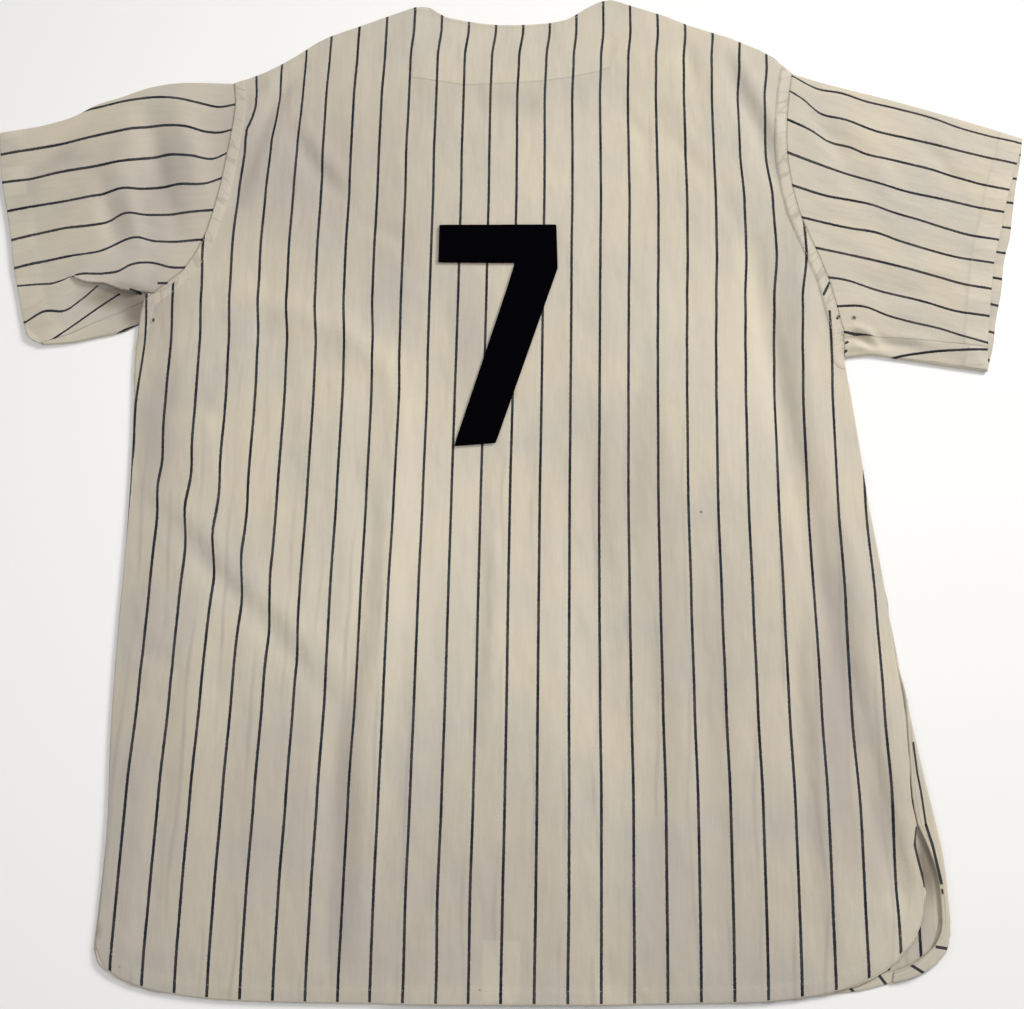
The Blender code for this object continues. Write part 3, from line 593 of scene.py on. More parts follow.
def between(tree, value, low, high, at_low=0.0, at_high=1.0):
    """Goes smoothly from at_low to at_high while the value goes from low to high."""
    inputs = {"Value": value, "From Min": low, "From Max": high, "To Min": at_low, "To Max": at_high}
    return add(tree, "ShaderNodeMapRange", inputs, interpolation_type="SMOOTHSTEP").outputs["Result"]


def noise(tree, place, scale, detail=2.0, roughness=0.5):
    inputs = {"Vector": place, "Scale": scale, "Detail": detail, "Roughness": roughness}
    return add(tree, "ShaderNodeTexNoise", inputs).outputs["Fac"]


def mix(tree, factor, a, b, blend="MIX"):
    """Mixes two colours, each a socket or a linear colour of three numbers."""
    a, b = (c if isinstance(c, bpy.types.NodeSocket) else (*c, 1) for c in (a, b))
    made = add(tree, "ShaderNodeMix", data_type="RGBA", blend_type=blend)
    for key, value in (("Factor_Float", factor), ("A_Color", a), ("B_Color", b)):
        socket = next(s for s in made.inputs if s.identifier == key)
        if isinstance(value, bpy.types.NodeSocket):
            tree.links.new(value, socket)
        else:
            socket.default_value = value
    return next(s for s in made.outputs if s.identifier == "Result_Color")


def attribute(tree, name):
    return add(tree, "ShaderNodeAttribute", attribute_name=name).outputs["Fac"]


print("helpers ready")

# %% [markdown]
# ## Wool flannel with a woven pinstripe
# Flannel is woven from soft yarn and brushed, so it is matt, a little fuzzy and never quite even: the
# cream goes slightly warm and slightly grey from place to place, and age has yellowed it. The pinstripe
# is a few navy yarns in the warp. Its edges are ragged by half a yarn, and pale flecks sit in it where
# the weft crosses. The UV map counts metres of cloth across and along the stripes, so one recipe serves
# every panel and the stripes bend with the cloth.

# %% Flannel
CREAM = (0.580, 0.524, 0.424)
GREY_CREAM = (0.530, 0.490, 0.424)
WARM_CREAM = (0.610, 0.545, 0.424)
NAVY = (0.010, 0.014, 0.024)
STRIPE_HALF_WIDTH = 0.00117
STRIPE_BLUR = 0.00016
RAGGED = 0.00022  # how far a stripe's edge strays
YARN = 0.00085  # from one yarn to the next
YARN_HEIGHT = 0.00012
RUMPLE = 0.0022  # the small soft rumples that are left in washed cloth, longer along the warp
RUMPLE_SCALE = (42, 17, 1)


def near(tree, value, at, half_width):
    """1 where a value is at a number, down to 0 from half_width away."""
    away = maths(tree, "ABSOLUTE", maths(tree, "SUBTRACT", value, at))
    return between(tree, away, half_width, 0.0)


def flannel(name, marks=(), reliefs=(), stripe_starts=None, woven=True):
    """The jersey's cloth. A mark changes its colour at some place and a relief its bump. No
    stripe shows where the attribute stripe_starts is below 1 mm, or where it isn't woven in."""
    made, tree, shader = new_material(name, CREAM, 0.92)
    shader.inputs["Sheen Weight"].default_value = 0.2
    shader.inputs["Sheen Roughness"].default_value = 0.45
    shader.inputs["Sheen Tint"].default_value = (1.0, 0.96, 0.88, 1)
    shader.inputs["Specular IOR Level"].default_value = 0.15

    chart = add(tree, "ShaderNodeUVMap", uv_map="UVMap").outputs["UV"]
    split = add(tree, "ShaderNodeSeparateXYZ", {"Vector": chart})
    across, lengthways = split.outputs["X"], split.outputs["Y"]
    place = object_place(tree)

    broad = noise(tree, place, 11.0, 3.0, 0.55)
    patchy = noise(tree, place, 31.0, 3.0, 0.55)
    tint = mix(tree, between(tree, broad, 0.36, 0.64), GREY_CREAM, WARM_CREAM)
    tint = mix(tree, between(tree, patchy, 0.3, 0.7, 0.0, 0.6), tint, CREAM)
    nap = noise(tree, chart, 900.0, 3.0, 0.7)
    slub = noise(tree, stretched(tree, chart, (420, 30, 1)), 1.0, 2.0)
    shade = maths(tree, "ADD", between(tree, nap, 0.25, 0.75, 0.95, 1.04),
                  between(tree, slub, 0.3, 0.7, -0.02, 0.02))
    colour = add(tree, "ShaderNodeVectorMath", {0: tint, "Scale": shade}, operation="SCALE").outputs[0]
    for mark in marks:
        colour = mark(tree, colour, chart, place)

    ragged = between(tree, noise(tree, chart, 620.0, 2.0, 0.6), 0.2, 0.8, -RAGGED, RAGGED)
    turns = maths(tree, "DIVIDE", maths(tree, "ADD", across, ragged), MM * PITCH)
    turn = maths(tree, "FRACT", maths(tree, "ADD", turns, 100.5))
    to_stripe = maths(tree, "ABSOLUTE", maths(tree, "SUBTRACT", turn, 0.5))
    to_stripe = times(tree, to_stripe, MM * PITCH)
    if stripe_starts:
        hidden = between(tree, attribute(tree, stripe_starts), 1.2, 0.7, 0.0, MM * PITCH)
        to_stripe = maths(tree, "ADD", to_stripe, hidden)
    stripe = between(tree, to_stripe, STRIPE_HALF_WIDTH + STRIPE_BLUR, STRIPE_HALF_WIDTH - STRIPE_BLUR)
    flecks = between(tree, noise(tree, chart, 1500.0, 1.0), 0.62, 0.74, 1.0, 0.78)
    worn = between(tree, noise(tree, place, 45.0, 2.0), 0.3, 0.7, 0.93, 1.0)
    stripe = times(tree, stripe, times(tree, flecks, worn) if woven else 0.0)
    colour = mix(tree, stripe, colour, NAVY)
    tree.links.new(colour, shader.inputs["Base Color"])

    warp = maths(tree, "SINE", times(tree, across, 2 * math.pi / YARN))
    weft = maths(tree, "SINE", times(tree, lengthways, 2 * math.pi / YARN))
    weave = times(tree, warp, weft)
    height = maths(tree, "ADD", times(tree, weave, 0.25), times(tree, nap, 1.2))
    normal = bump(tree, height, YARN_HEIGHT, 0.7)
    rumple = noise(tree, stretched(tree, chart, RUMPLE_SCALE), 1.0, 2.5, 0.5)
    normal = bump(tree, rumple, RUMPLE, 1.0, normal)
    for relief in reliefs:
        normal = bump(tree, relief(tree, chart, place), MM, 1.0, normal)
    tree.links.new(normal, shader.inputs["Normal"])
    return made


print("navy stripe:", round(2000 * STRIPE_HALF_WIDTH, 2), "mm wide")

# %% [markdown]
# ## Sewn bands, show-through, painted light and painted shade
# Two layers of flannel are thicker than one, so a felled seam, a hem or a cuff's turn-up is a little
# paler and warmer, with small puckers across it. The fine dark line where it is stitched down and the
# thin dark folds across it are painted shade. The stripes of a layer below show through as grey streaks.
# Broad patches of painted light and shade stand for the light falling unevenly on the cloth, and painted
# shade darkens hollows and edges. Each of these is a small function, and a panel's cloth takes the ones
# that it needs. The panel's attributes give the distance to its edges, in mm.

# %% Marks
PALE = (0.650, 0.588, 0.480)
SHADED = (0.215, 0.180, 0.140)
GREYED = (0.404, 0.358, 0.332)
BRIGHT = (0.700, 0.632, 0.505)
LEFT_SHARE = 0.35  # of the puckers and the painted shade line of a band, on the smoother left of the body
MIDDLE = 0.1  # m to each side, over which it changes
# The noise of a band's puckers, and of its thin folds in painted shade: how it is drawn out away from
# the seam, and its scale
PUCKERS = (0.22, 0.17)
FOLDS = (0.35, 0.05)
FOLD_HALF_WIDTH = 0.022  # of a thin fold, as a share of the noise


def seam_place(tree, away, length, stretch):
    """Coordinates that follow a seam, in mm: along it and, stretched, away from it."""
    slanting = maths(tree, "ADD", length, times(tree, away, 0.5))
    across = times(tree, away, stretch)
    return add(tree, "ShaderNodeCombineXYZ", {"X": slanting, "Y": across}).outputs["Vector"]


def unevenly(tree, place, amount):
    """An amount that is whole on the right side of the body and smaller on the left."""
    side = add(tree, "ShaderNodeSeparateXYZ", {"Vector": place}).outputs["X"]
    return between(tree, side, -MIDDLE, MIDDLE, LEFT_SHARE * amount, amount)


def puckers(tree, away, length, band):
    """Small folds across a sewn band, 0 to 1."""
    stretch, scale = PUCKERS
    fine = noise(tree, seam_place(tree, away, length, stretch), scale, 2.0, 0.55)
    inside = between(tree, away, band + 1.5, band - 1.0)
    return times(tree, fine, inside)


def band_mark(away_name, length_name, band, paler=0.35, line=0.30, folds=0.28):
    """Colour of a sewn band along an edge: paler, with thin folds across it and a line along its
    stitching in painted shade.
    """
    stretch, scale = FOLDS

    def mark(tree, colour, chart, place):
        away, length = attribute(tree, away_name), attribute(tree, length_name)
        inside = between(tree, away, band + 0.5, band - 0.5)
        colour = mix(tree, times(tree, inside, paler), colour, PALE)
        thin = noise(tree, seam_place(tree, away, length, stretch), scale, 1.0)
        thin = times(tree, times(tree, near(tree, thin, 0.5, FOLD_HALF_WIDTH), inside), folds)
        colour = mix(tree, thin, colour, SHADED)
        seam = times(tree, near(tree, away, band, 0.9), unevenly(tree, place, line))
        return mix(tree, seam, colour, SHADED)
    return mark


def band_relief(away_name, length_name, band, pucker=0.9, dips=0.22):
    """Bump of a sewn band: its puckers and the dips along its two rows of stitches."""
    def relief(tree, chart, place):
        away, length = attribute(tree, away_name), attribute(tree, length_name)
        height = times(tree, puckers(tree, away, length, band), unevenly(tree, place, pucker))
        for row in (1.4, band - 0.8):
            dip = times(tree, near(tree, away, row, 1.2), unevenly(tree, place, dips))
            height = maths(tree, "SUBTRACT", height, dip)
        return height
    return relief


def edge_shadow(away_name, width=1.6, strength=0.5):
    """The dark line where a panel's edge is drawn down into a seam."""
    def mark(tree, colour, chart, place):
        shadow = times(tree, near(tree, attribute(tree, away_name), 0.0, width), strength)
        return mix(tree, shadow, colour, SHADED)
    return mark


def ghost_stripes(shift, strength, below):
    """Grey streaks where the stripes of the layer underneath show through, below a height in mm."""
    def mark(tree, colour, chart, place):
        split = add(tree, "ShaderNodeSeparateXYZ", {"Vector": place})
        wander = between(tree, noise(tree, place, 9.0, 1.0), 0.2, 0.8, -0.004, 0.004)
        turns = maths(tree, "DIVIDE", maths(tree, "ADD", split.outputs["X"], wander), MM * PITCH)
        away = maths(tree, "SUBTRACT", maths(tree, "FRACT", maths(tree, "ADD", turns, 100 - shift)), 0.5)
        streak = between(tree, maths(tree, "ABSOLUTE", away), 0.11, 0.0)
        broken = noise(tree, stretched(tree, place, (38, 9, 1)), 1.0, 2.0)
        broken = between(tree, broken, 0.42, 0.62)
        low = between(tree, split.outputs["Y"], MM * (below + 120), MM * (below - 120), 0.25, 1.0)
        factor = times(tree, times(tree, streak, broken), low)
        return mix(tree, times(tree, factor, strength), colour, GREYED)
    return mark


def painted_light_mark(tree, colour, chart, place):
    """Patches of painted light (above 0) and painted shade (below 0), from the panel's attribute of them.
    """
    painted_light = attribute(tree, "painted_light")
    colour = mix(tree, painted_light, colour, BRIGHT)
    return mix(tree, times(tree, painted_light, -1.0), colour, GREYED)


def spot(x, y, wide, high, tint, strength):
    """A soft-edged patch of colour round a place in mm, for real stains and for painted shade and light."""
    def mark(tree, colour, chart, place):
        moved = vector(tree, "SUBTRACT", place, (MM * x, MM * y, 0))
        scaled = vector(tree, "MULTIPLY", moved, (1 / (MM * wide), 1 / (MM * high), 0))
        away = vector(tree, "LENGTH", scaled, output="Value")
        return mix(tree, between(tree, away, 1.0, 0.2, 0.0, strength), colour, tint)
    return mark


DASH_BLUR = 0.0002


def dash(*points, half_width=STRIPE_HALF_WIDTH):
    """A stripe through some places in mm, at a seam or fold where the cloth below comes out."""
    def mark(tree, colour, chart, place):
        away = 1.0
        for start, end in zip(points, points[1:]):
            way = MM * np.subtract(end, start)
            length = float(np.hypot(*way))
            way = (*way / length, 0)
            moved = vector(tree, "SUBTRACT", place, (MM * start[0], MM * start[1], 0))
            moved = vector(tree, "MULTIPLY", moved, (1, 1, 0))
            run = vector(tree, "DOT_PRODUCT", moved, way, "Value")
            run = maths(tree, "MINIMUM", maths(tree, "MAXIMUM", run, 0.0), length)
            foot = add(tree, "ShaderNodeVectorMath", {0: way, "Scale": run}, operation="SCALE").outputs[0]
            away = maths(tree, "MINIMUM", away, vector(tree, "DISTANCE", moved, foot, "Value"))
        line = between(tree, away, half_width + DASH_BLUR, half_width - DASH_BLUR, 0.0, 0.94)
        return mix(tree, line, colour, NAVY)
    return mark


print("marks ready")

# %% [markdown]
# ## Making a panel
# A grid primitive has the rows and columns of a panel. Each of its points is moved to its place on the
# form, the UV map gets the cloth's own coordinates, and a Solidify modifier, applied at once, gives the
# cloth its thickness.

# %% Cloth panels
FLOOR_GAP = 0.02  # the cloth never goes below this height


def stack(plan, height):
    """Rows of places from a plan and heights, both in millimetres."""
    return np.dstack((plan, np.broadcast_to(height, plan.shape[:2])))


def heights(function, plan, *more):
    return function(plan[..., 0], plan[..., 1], *more)


def select_only(piece):
    bpy.ops.object.select_all(action="DESELECT")
    piece.select_set(True)
    bpy.context.view_layer.objects.active = piece


def apply_modifier(piece, kind, **settings):
    """Adds a modifier with these settings and applies it."""
    select_only(piece)
    added = piece.modifiers.new(kind.lower(), kind)
    for key, value in settings.items():
        setattr(added, key, value)
    bpy.ops.object.modifier_apply(modifier=added.name)


def points_of(mesh):
    """Rows of x, y and z in metres."""
    flat = np.empty(3 * len(mesh.vertices))
    mesh.vertices.foreach_get("co", flat)
    return flat.reshape(-1, 3)


def move_points(mesh, points):
    mesh.vertices.foreach_set("co", np.ravel(points))
    mesh.update()


def panel(name, places, chart, thickness, look, fields=None):
    """A piece of cloth whose outer side goes through rows of places; chart is its UV map."""
    rows, columns = places.shape[:2]
    bpy.ops.object.select_all(action="DESELECT")
    bpy.ops.mesh.primitive_grid_add(x_subdivisions=columns - 1, y_subdivisions=rows - 1, size=2)
    piece = bpy.context.object
    piece.name = piece.data.name = name
    mesh = piece.data
    grid = (points_of(mesh) + 1) / 2
    column = np.rint(grid[:, 0] * (columns - 1)).astype(int)
    row = np.rint(grid[:, 1] * (rows - 1)).astype(int)
    move_points(mesh, MM * places[row, column])
    corner = np.empty(len(mesh.loops), dtype=int)
    mesh.loops.foreach_get("vertex_index", corner)
    mesh.uv_layers[0].name = "UVMap"
    mesh.uv_layers[0].data.foreach_set("uv", (MM * chart[row, column])[corner].ravel())
    for field, values in (fields or {}).items():
        made = mesh.attributes.new(field, "FLOAT", "POINT")
        made.data.foreach_set("value", np.broadcast_to(values, (rows, columns))[row, column].ravel())
    mesh.materials.append(look)
    mesh.update()
    apply_modifier(piece, "SOLIDIFY", thickness=MM * thickness, offset=-1)
    points = points_of(piece.data)
    points[:, 2] = np.maximum(points[:, 2], MM * FLOOR_GAP)
    move_points(piece.data, points)
    select_only(piece)
    bpy.ops.object.shade_smooth_by_angle(angle=math.radians(50))
    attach(piece, "root")
    return piece


def finer_edges(count, length, fine=(0.35, 0.8, 1.3, 2.2, 3.6, 5.2, 7, 8.6, 9.8, 11, 12.6, 15, 19)):
    """Shares of a length, close together near both ends, where hems and seams are."""
    near = np.array(fine) / length
    inner = np.linspace(near[-1], 1 - near[-1], count)[1:-1]
    return np.concatenate(([0], near, inner, 1 - near[::-1], [1]))

# %% [markdown]
# ## Back
# The back is one panel from the neck to the shirt-tail hem. Its sewn edges are thicker, because the seam
# allowance is felled (folded under and stitched flat) on the body side of each armhole. The hem is
# turned up twice, 12 mm deep.

# %% Back
ARMHOLE_BAND = 10.5
HEM_BAND = 11.0
LAST_STRIPE_TOP = 131.0  # the outermost stripe on the right goes into the armhole's seam here
LAST_STRIPE_FROM = 272  # it is the only one to the right of this x
FACING_HALF = 92
FAR = 20.0  # from an edge: well clear of it
# Patches of painted light and shade: x, y, half width, half height, and how far lightened or darkened
# (minus)
PAINTED_LIGHT = [
    (6, 330, 50, 16, -0.30),
    (-175, 265, 100, 95, -0.55),
    (-246, 290, 20, 60, -0.40),
    (-345, 235, 80, 90, -0.36),
    (-320, 128, 30, 26, -0.80),
    (60, 260, 60, 80, 0.32),
    (-72, -80, 56, 120, 0.66),
    (140, 120, 40, 70, 0.35),
    (30, -130, 26, 90, 0.30),
    (205, 60, 36, 90, 0.62),
    (-100, 165, 26, 60, -0.36),
    (-36, 118, 20, 50, -0.42),
    (-36, 62, 12, 50, -0.30),
    (64, -190, 36, 110, 0.34),
    (84, -330, 26, 70, 0.30),
    (-190, -270, 50, 70, -0.26),
    (-160, -135, 18, 50, 0.36),
    (-120, 60, 15, 40, 0.42),
    (-402, 268, 24, 14, -0.45),
    (-436, 232, 14, 26, -0.35),
    (302, -300, 12, 50, -0.50),
    (105, -30, 55, 80, -0.42),
    (155, -160, 60, 90, -0.36),
    (243, 90, 13, 90, -0.45),
    (272, -190, 22, 110, -0.80),
    (0, -360, 420, 120, -0.42),
    (-122, -290, 14, 110, -0.35),
    (-290, -190, 30, 210, -0.36),
    (-296, 30, 18, 60, -0.55),
    (-445, 185, 20, 45, 0.50),
    (-312, 240, 14, 44, -0.50),
    (305, -385, 40, 40, 0.60),
]


def sewn_band(away, width, height, dip=0.08):
    """A flat raised band beside an edge, pulled down a little along its row of stitches."""
    return height * (1 - ramp((away - width) / 2.5)) - dip * np.exp(-(((away - width) / 1.1) ** 2))


def nearest(x, y, lines):
    return np.minimum.reduce([distance(x, y, line)[0] for line in lines])


def length_of(line):
    return np.hypot(*np.diff(line, axis=0).T).sum()


def seam_fields(x, y, lines, away_name, length_name):
    """Attributes for a sewn edge: the distance to it and the distance along it, in mm."""
    away, run = np.full(np.shape(x), np.inf), np.zeros(np.shape(x))
    for line in lines:
        here, share = distance(x, y, line)
        run = np.where(here < away, share * length_of(line), run)
        away = np.minimum(away, here)
    return {away_name: away, length_name: run}


# The patches of painted light and shade, summed at each place
def painted_light(x, y):
    total = np.zeros(np.shape(x))
    for at_x, at_y, wide, high, amount in PAINTED_LIGHT:
        total += amount * np.exp(-(((x - at_x) / wide) ** 2) - ((y - at_y) / high) ** 2)
    return total


armhole_line = smooth_line([LEFT_ARMHOLE]), smooth_line([RIGHT_ARMHOLE])
hem_line = smooth_line([LEFT_VENT[::-1], HEM_LEFT, HEM_MIDDLE, HEM_RIGHT, RIGHT_VENT])
bottom_line = smooth_line([HEM_LEFT, HEM_MIDDLE, HEM_RIGHT])
neck_line = smooth_line([BACK_NECK])
back_line = smooth_line([LEFT_VENT[::-1], HEM_LEFT, HEM_MIDDLE, HEM_RIGHT, RIGHT_VENT, RIGHT_SIDE,
                         RIGHT_ARMHOLE, RIGHT_SHOULDER[::-1], BACK_NECK[::-1], LEFT_SHOULDER[::-1],
                         LEFT_ARMHOLE[::-1], LEFT_SIDE[::-1]])


def back_height(x, y):
    """Top of the back, with its felled armholes, its hem and its rounded edges."""
    armhole = nearest(x, y, armhole_line)
    hem = distance(x, y, hem_line)[0]
    height = lie(x, y) + sewn_band(armhole, ARMHOLE_BAND, 0.45, 0.3) + sewn_band(hem, HEM_BAND, 0.25)
    return roll(height, distance(x, y, back_line)[0])


def above_facing(tree, colour, chart, place):
    """Where the neck facing lies underneath: paler, with painted shade below its edge and a fine painted
    shadow line along it.
    """
    over = attribute(tree, "over_facing")
    colour = mix(tree, between(tree, over, -0.8, 0.8, 0.0, 0.16), colour, PALE)
    # Painted shade below the facing's edge, and a painted shadow line along it
    shadow = between(tree, over, -30.0, 0.0, 0.0, 0.16)
    shadow = times(tree, shadow, between(tree, over, 0.4, -0.4))
    colour = mix(tree, shadow, colour, GREYED)
    return mix(tree, times(tree, near(tree, over, 0.0, 1.0), 0.22), colour, SHADED)


def facing_relief(tree, chart, place):
    return between(tree, attribute(tree, "over_facing"), -0.9, 0.9, 0.0, 0.25)


LABEL = {"X": (-10.0, 18.5), "Y": (-436.0, -392.5)}
LABEL_BLUR = 0.8


def label_mark(tree, colour, chart, place):
    """The blank label sewn inside near the hem shows as a paler rectangle."""
    split = add(tree, "ShaderNodeSeparateXYZ", {"Vector": place})
    inside = 1.0
    for axis, (low, high) in LABEL.items():
        for edge, blur in ((low, LABEL_BLUR), (high, -LABEL_BLUR)):
            past = between(tree, split.outputs[axis], MM * (edge - blur), MM * (edge + blur))
            inside = times(tree, inside, past)
    return mix(tree, times(tree, inside, 0.22), colour, BRIGHT)


YELLOWED = (0.52, 0.43, 0.27)
RUST = (0.22, 0.10, 0.06)
# Painted shade for the hole in each underarm eyelet
EYELET_HOLE_SHADE = (0.06, 0.05, 0.04)
EYELET_LEFT = (-309.2, 112.9)
EYELET_RIGHT = (301.7, 124.4)
# Small marks: x, y, half width, half height, colour, strength. Two are stains, one is painted shade in
# the left eyelet's hole, and the rest are dark spots in the shade colour by the left vent and the hem
STAINS_AND_SHADE = [
    (7.6, 50, 3.5, 6.5, YELLOWED, 0.55),
    (164.6, -51.6, 1.8, 1.7, RUST, 0.9),
    (*EYELET_LEFT, 2.7, 3.5, EYELET_HOLE_SHADE, 0.9),
    (-307, -391, 3.0, 9, SHADED, 0.35),
    (-289, -416.5, 1.2, 1.0, SHADED, 0.5),
    (-12, -428.5, 1.4, 1.2, SHADED, 0.7),
]
back_look = flannel("flannel_of_the_back", marks=[
    ghost_stripes(0.52, 0.55, -20), painted_light_mark, band_mark("to_armhole", "along_armhole", ARMHOLE_BAND),
    band_mark("to_hem", "along_hem", HEM_BAND, 0.06, 0.05, 0.0), above_facing, label_mark,
    *[spot(*marked) for marked in STAINS_AND_SHADE], edge_shadow("to_armhole", 1.3, 0.45),
    dash((276, 145.4), (281.6, 156.5)), dash((287.2, 123.5), (288.6, 125.4)),
    dash((329.5, -303.8), (327.1, -316.7), (329.4, -329.5), (332.4, -342.9), (333, -347.4))],
    reliefs=[band_relief("to_armhole", "along_armhole", ARMHOLE_BAND, 1.3),
             band_relief("to_hem", "along_hem", HEM_BAND, 0.25, 0.04), facing_relief],
    stripe_starts="stripe_starts")

u, v = finer_edges(150, 600), finer_edges(190, 800)
back_plan = patch([HEM_LEFT, HEM_MIDDLE, HEM_RIGHT], [LEFT_SHOULDER, BACK_NECK, RIGHT_SHOULDER],
                  [LEFT_VENT, LEFT_SIDE, LEFT_ARMHOLE], [RIGHT_VENT, RIGHT_SIDE, RIGHT_ARMHOLE], u, v)
back_x, back_y = back_plan[..., 0], back_plan[..., 1]
back_stripes = np.dstack((PITCH * stripe_on_back(back_x, back_y), back_y))
back_fields = {
    **seam_fields(back_x, back_y, armhole_line, "to_armhole", "along_armhole"),
    **seam_fields(back_x, back_y, [hem_line], "to_hem", "along_hem"),
    "stripe_starts": np.minimum(distance(back_x, back_y, bottom_line)[0],
                                np.where(back_x > LAST_STRIPE_FROM, LAST_STRIPE_TOP + 1 - back_y, FAR)),
    "over_facing": np.where(abs(back_x) < FACING_HALF, back_y - facing_edge(back_x), -40.0),
    "painted_light": painted_light(back_x, back_y),
}
back = panel("flannel_back", stack(back_plan, back_height(back_x, back_y)), back_stripes, WALL, back_look,
             back_fields)
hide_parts("back")
print("back:", back_plan.shape[0], "rows of", back_plan.shape[1])

# %% [markdown]
# ## Fronts
# The two fronts lie on the table, right side down, and overlap in the button placket at the middle. Only
# the strip beside the right vent shows from above, but they are cut, striped and hemmed like the back.

# %% Fronts
def centre_edge(x):
    """Runs up a placket's free edge, from the hem to the neckline."""
    return [[(x, low), (x, high)] for low, high in zip(CENTRE_Y, CENTRE_Y[1:])]


def front_height(x, y, placket, lines):
    return roll(front_floor(x, y, placket) + WALL, nearest(x, y, lines), 1.0, 0.6)


STRIPE_OF_FRONT = 328.0  # x of a stripe on the fronts


def wrong_side_and_shade(tree, colour, chart, place):
    """The inside of the fronts: greyer, partly as the cloth's wrong side and partly as painted shade where
    it lies under the back, with streaks along the cloth.
    """
    streaks = noise(tree, stretched(tree, place, (260, 18, 1)), 1.0, 3.0)
    return mix(tree, between(tree, streaks, 0.3, 0.7, 0.10, 0.55), colour, GREYED)


def turned_hem(tree, colour, chart, place):
    """The front's hem is turned up inside, so its right side shows there as a paler band, with a painted
    shadow line along its inner edge.
    """
    away = attribute(tree, "past_hem_band")
    colour = mix(tree, between(tree, away, 0.5, -0.5, 0.0, 0.75), colour, CREAM)
    return mix(tree, times(tree, near(tree, away, 0.4, 0.9), 0.45), colour, SHADED)


FRONT_HEM_BAND = 8.0
front_hem_line = smooth_line([FRONT_HEM_LEFT, FRONT_HEM_PLACKET_LEFT, FRONT_HEM_PLACKET_RIGHT[1:],
                              FRONT_HEM_RIGHT])
# The fronts' inside, with painted shade under the vent's corner
inside_look = flannel("flannel_inside", marks=[
    wrong_side_and_shade, spot(337, -330, 12, 42, SHADED, 0.80), turned_hem,
    dash((294.5, -413.3), (300, -420.5)), dash((272, -423), (275.4, -427))],
    stripe_starts="past_hem_band")
for side, edges, placket in (
        ("left", ([FRONT_HEM_LEFT, FRONT_HEM_PLACKET_LEFT], [LEFT_SHOULDER, NECKLINE_LEFT],
                  [FRONT_VENT_LEFT, LEFT_SIDE, LEFT_ARMHOLE], centre_edge(PLACKET_HALF)), LEFT_PLACKET),
        ("right", ([FRONT_HEM_PLACKET_RIGHT, FRONT_HEM_RIGHT], [NECKLINE_RIGHT, RIGHT_SHOULDER],
                   centre_edge(-PLACKET_HALF), [FRONT_VENT_RIGHT, FRONT_SIDE_RIGHT, RIGHT_ARMHOLE]),
         RIGHT_PLACKET)):
    plan = patch(*edges, finer_edges(52, 340), finer_edges(100, 760))
    edge_lines = [smooth_line(runs) for runs in edges]
    places = stack(plan, heights(front_height, plan, placket, edge_lines))
    chart = np.dstack((plan[..., 0] - STRIPE_OF_FRONT, plan[..., 1]))
    fields = {"past_hem_band": heights(distance, plan, front_hem_line)[0] - FRONT_HEM_BAND}
    panel("flannel_front_" + side, places, chart, WALL, inside_look, fields)
    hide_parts("front_" + side)
    print("front", side, plan.shape[:2])

# %% [markdown]
# ## Sleeves
# Each sleeve is one sheet, folded over at the shoulder and under the arm, with its seam just above the
# lower fold. Rows of places run round it: from the seam down, round under the sleeve, over the top fold
# and back down to the seam. The left sleeve has a soft fold below the middle, where the cloth laps over
# itself, and the right one is a little bunched under the arm.

# %% Sleeves
FOLD_ROUND = EDGE_HEIGHT / 2
LAP_LINE = [(-402, 146), (-384, 151.5), (-353.4, 150.1), (-337, 143.8), (-323.5, 141.2), (-310, 134)]
CUFF_BAND = 21.0
CUFF_TURN = 0.3  # slope by which the right front's stripes turn where they come out past the back's cuff
LAP_DEPTH = 2.3  # over 1 the cloth turns back under itself
LAP_REACH = 14.0
LAP_HEIGHT = 3.0
LAP_STARTS = (-400, 34)  # x, and the length over which it grows
LAP_SHRINKS = (-328, 16, 0.7)  # x, the length over which it shrinks, and by how much
LAP_HIDDEN = 9  # the fold hides the stripes this far on each side of its middle
STRIPE_GUARD = 0.25  # keeps the upper stripes out of the strip below the seam
FIRST_ROWS = 0.36  # share of the way up where a sleeve's rows lie closer together


def part_of(runs, start, end=1.0, steps=30):
    """The points of one stretch of an edge."""
    return [tuple(p) for p in along(runs, np.linspace(start, end, steps))]


def edge_fold(plan, next_plan, angles):
    """Rows that turn round a folded edge, from the row at the edge towards the next one."""
    way = next_plan - plan
    way = way / np.linalg.norm(way, axis=1)[:, None]
    return np.array([np.column_stack((plan + way * FOLD_ROUND * (1 - math.cos(a)),
                                      np.full(len(plan), FOLD_ROUND * (1 + math.sin(a))))) for a in angles])


def lap(plan):
    """Laps the left sleeve's cloth over itself below LAP_LINE. Gives the plan, the rise of each place,
    how far it belongs to the layer below, from 0 to 1, and how far it is from the hidden fold."""
    x, y = plan[..., 0], plan[..., 1]
    line = np.interp(x, *np.array(LAP_LINE).T)
    strength = ramp((x - LAP_STARTS[0]) / LAP_STARTS[1])
    strength = strength * (1 - LAP_SHRINKS[2] * ramp((x - LAP_SHRINKS[0]) / LAP_SHRINKS[1]))
    seam = np.interp(x, *np.array(LEFT_SLEEVE_SEAM[::-1]).T)
    strength = strength * ramp((y - seam - 0.5) / 14)
    off = y - line
    moved = off * (1 - LAP_DEPTH * strength * np.exp(-((off / LAP_REACH) ** 2)))
    below = ramp((8 - off) / 16)
    over = np.exp(-(np.maximum(off - 7, 0) / 26) ** 2)
    rise_here = strength * (LAP_HEIGHT * (1 - below) * over - 0.5 * below * np.exp(-((off + 17) / 9) ** 2))
    clear = np.where(strength > 0.55, abs(off + 6) - LAP_HIDDEN, FAR)
    return np.dstack((x, line + moved)), rise_here, below, clear


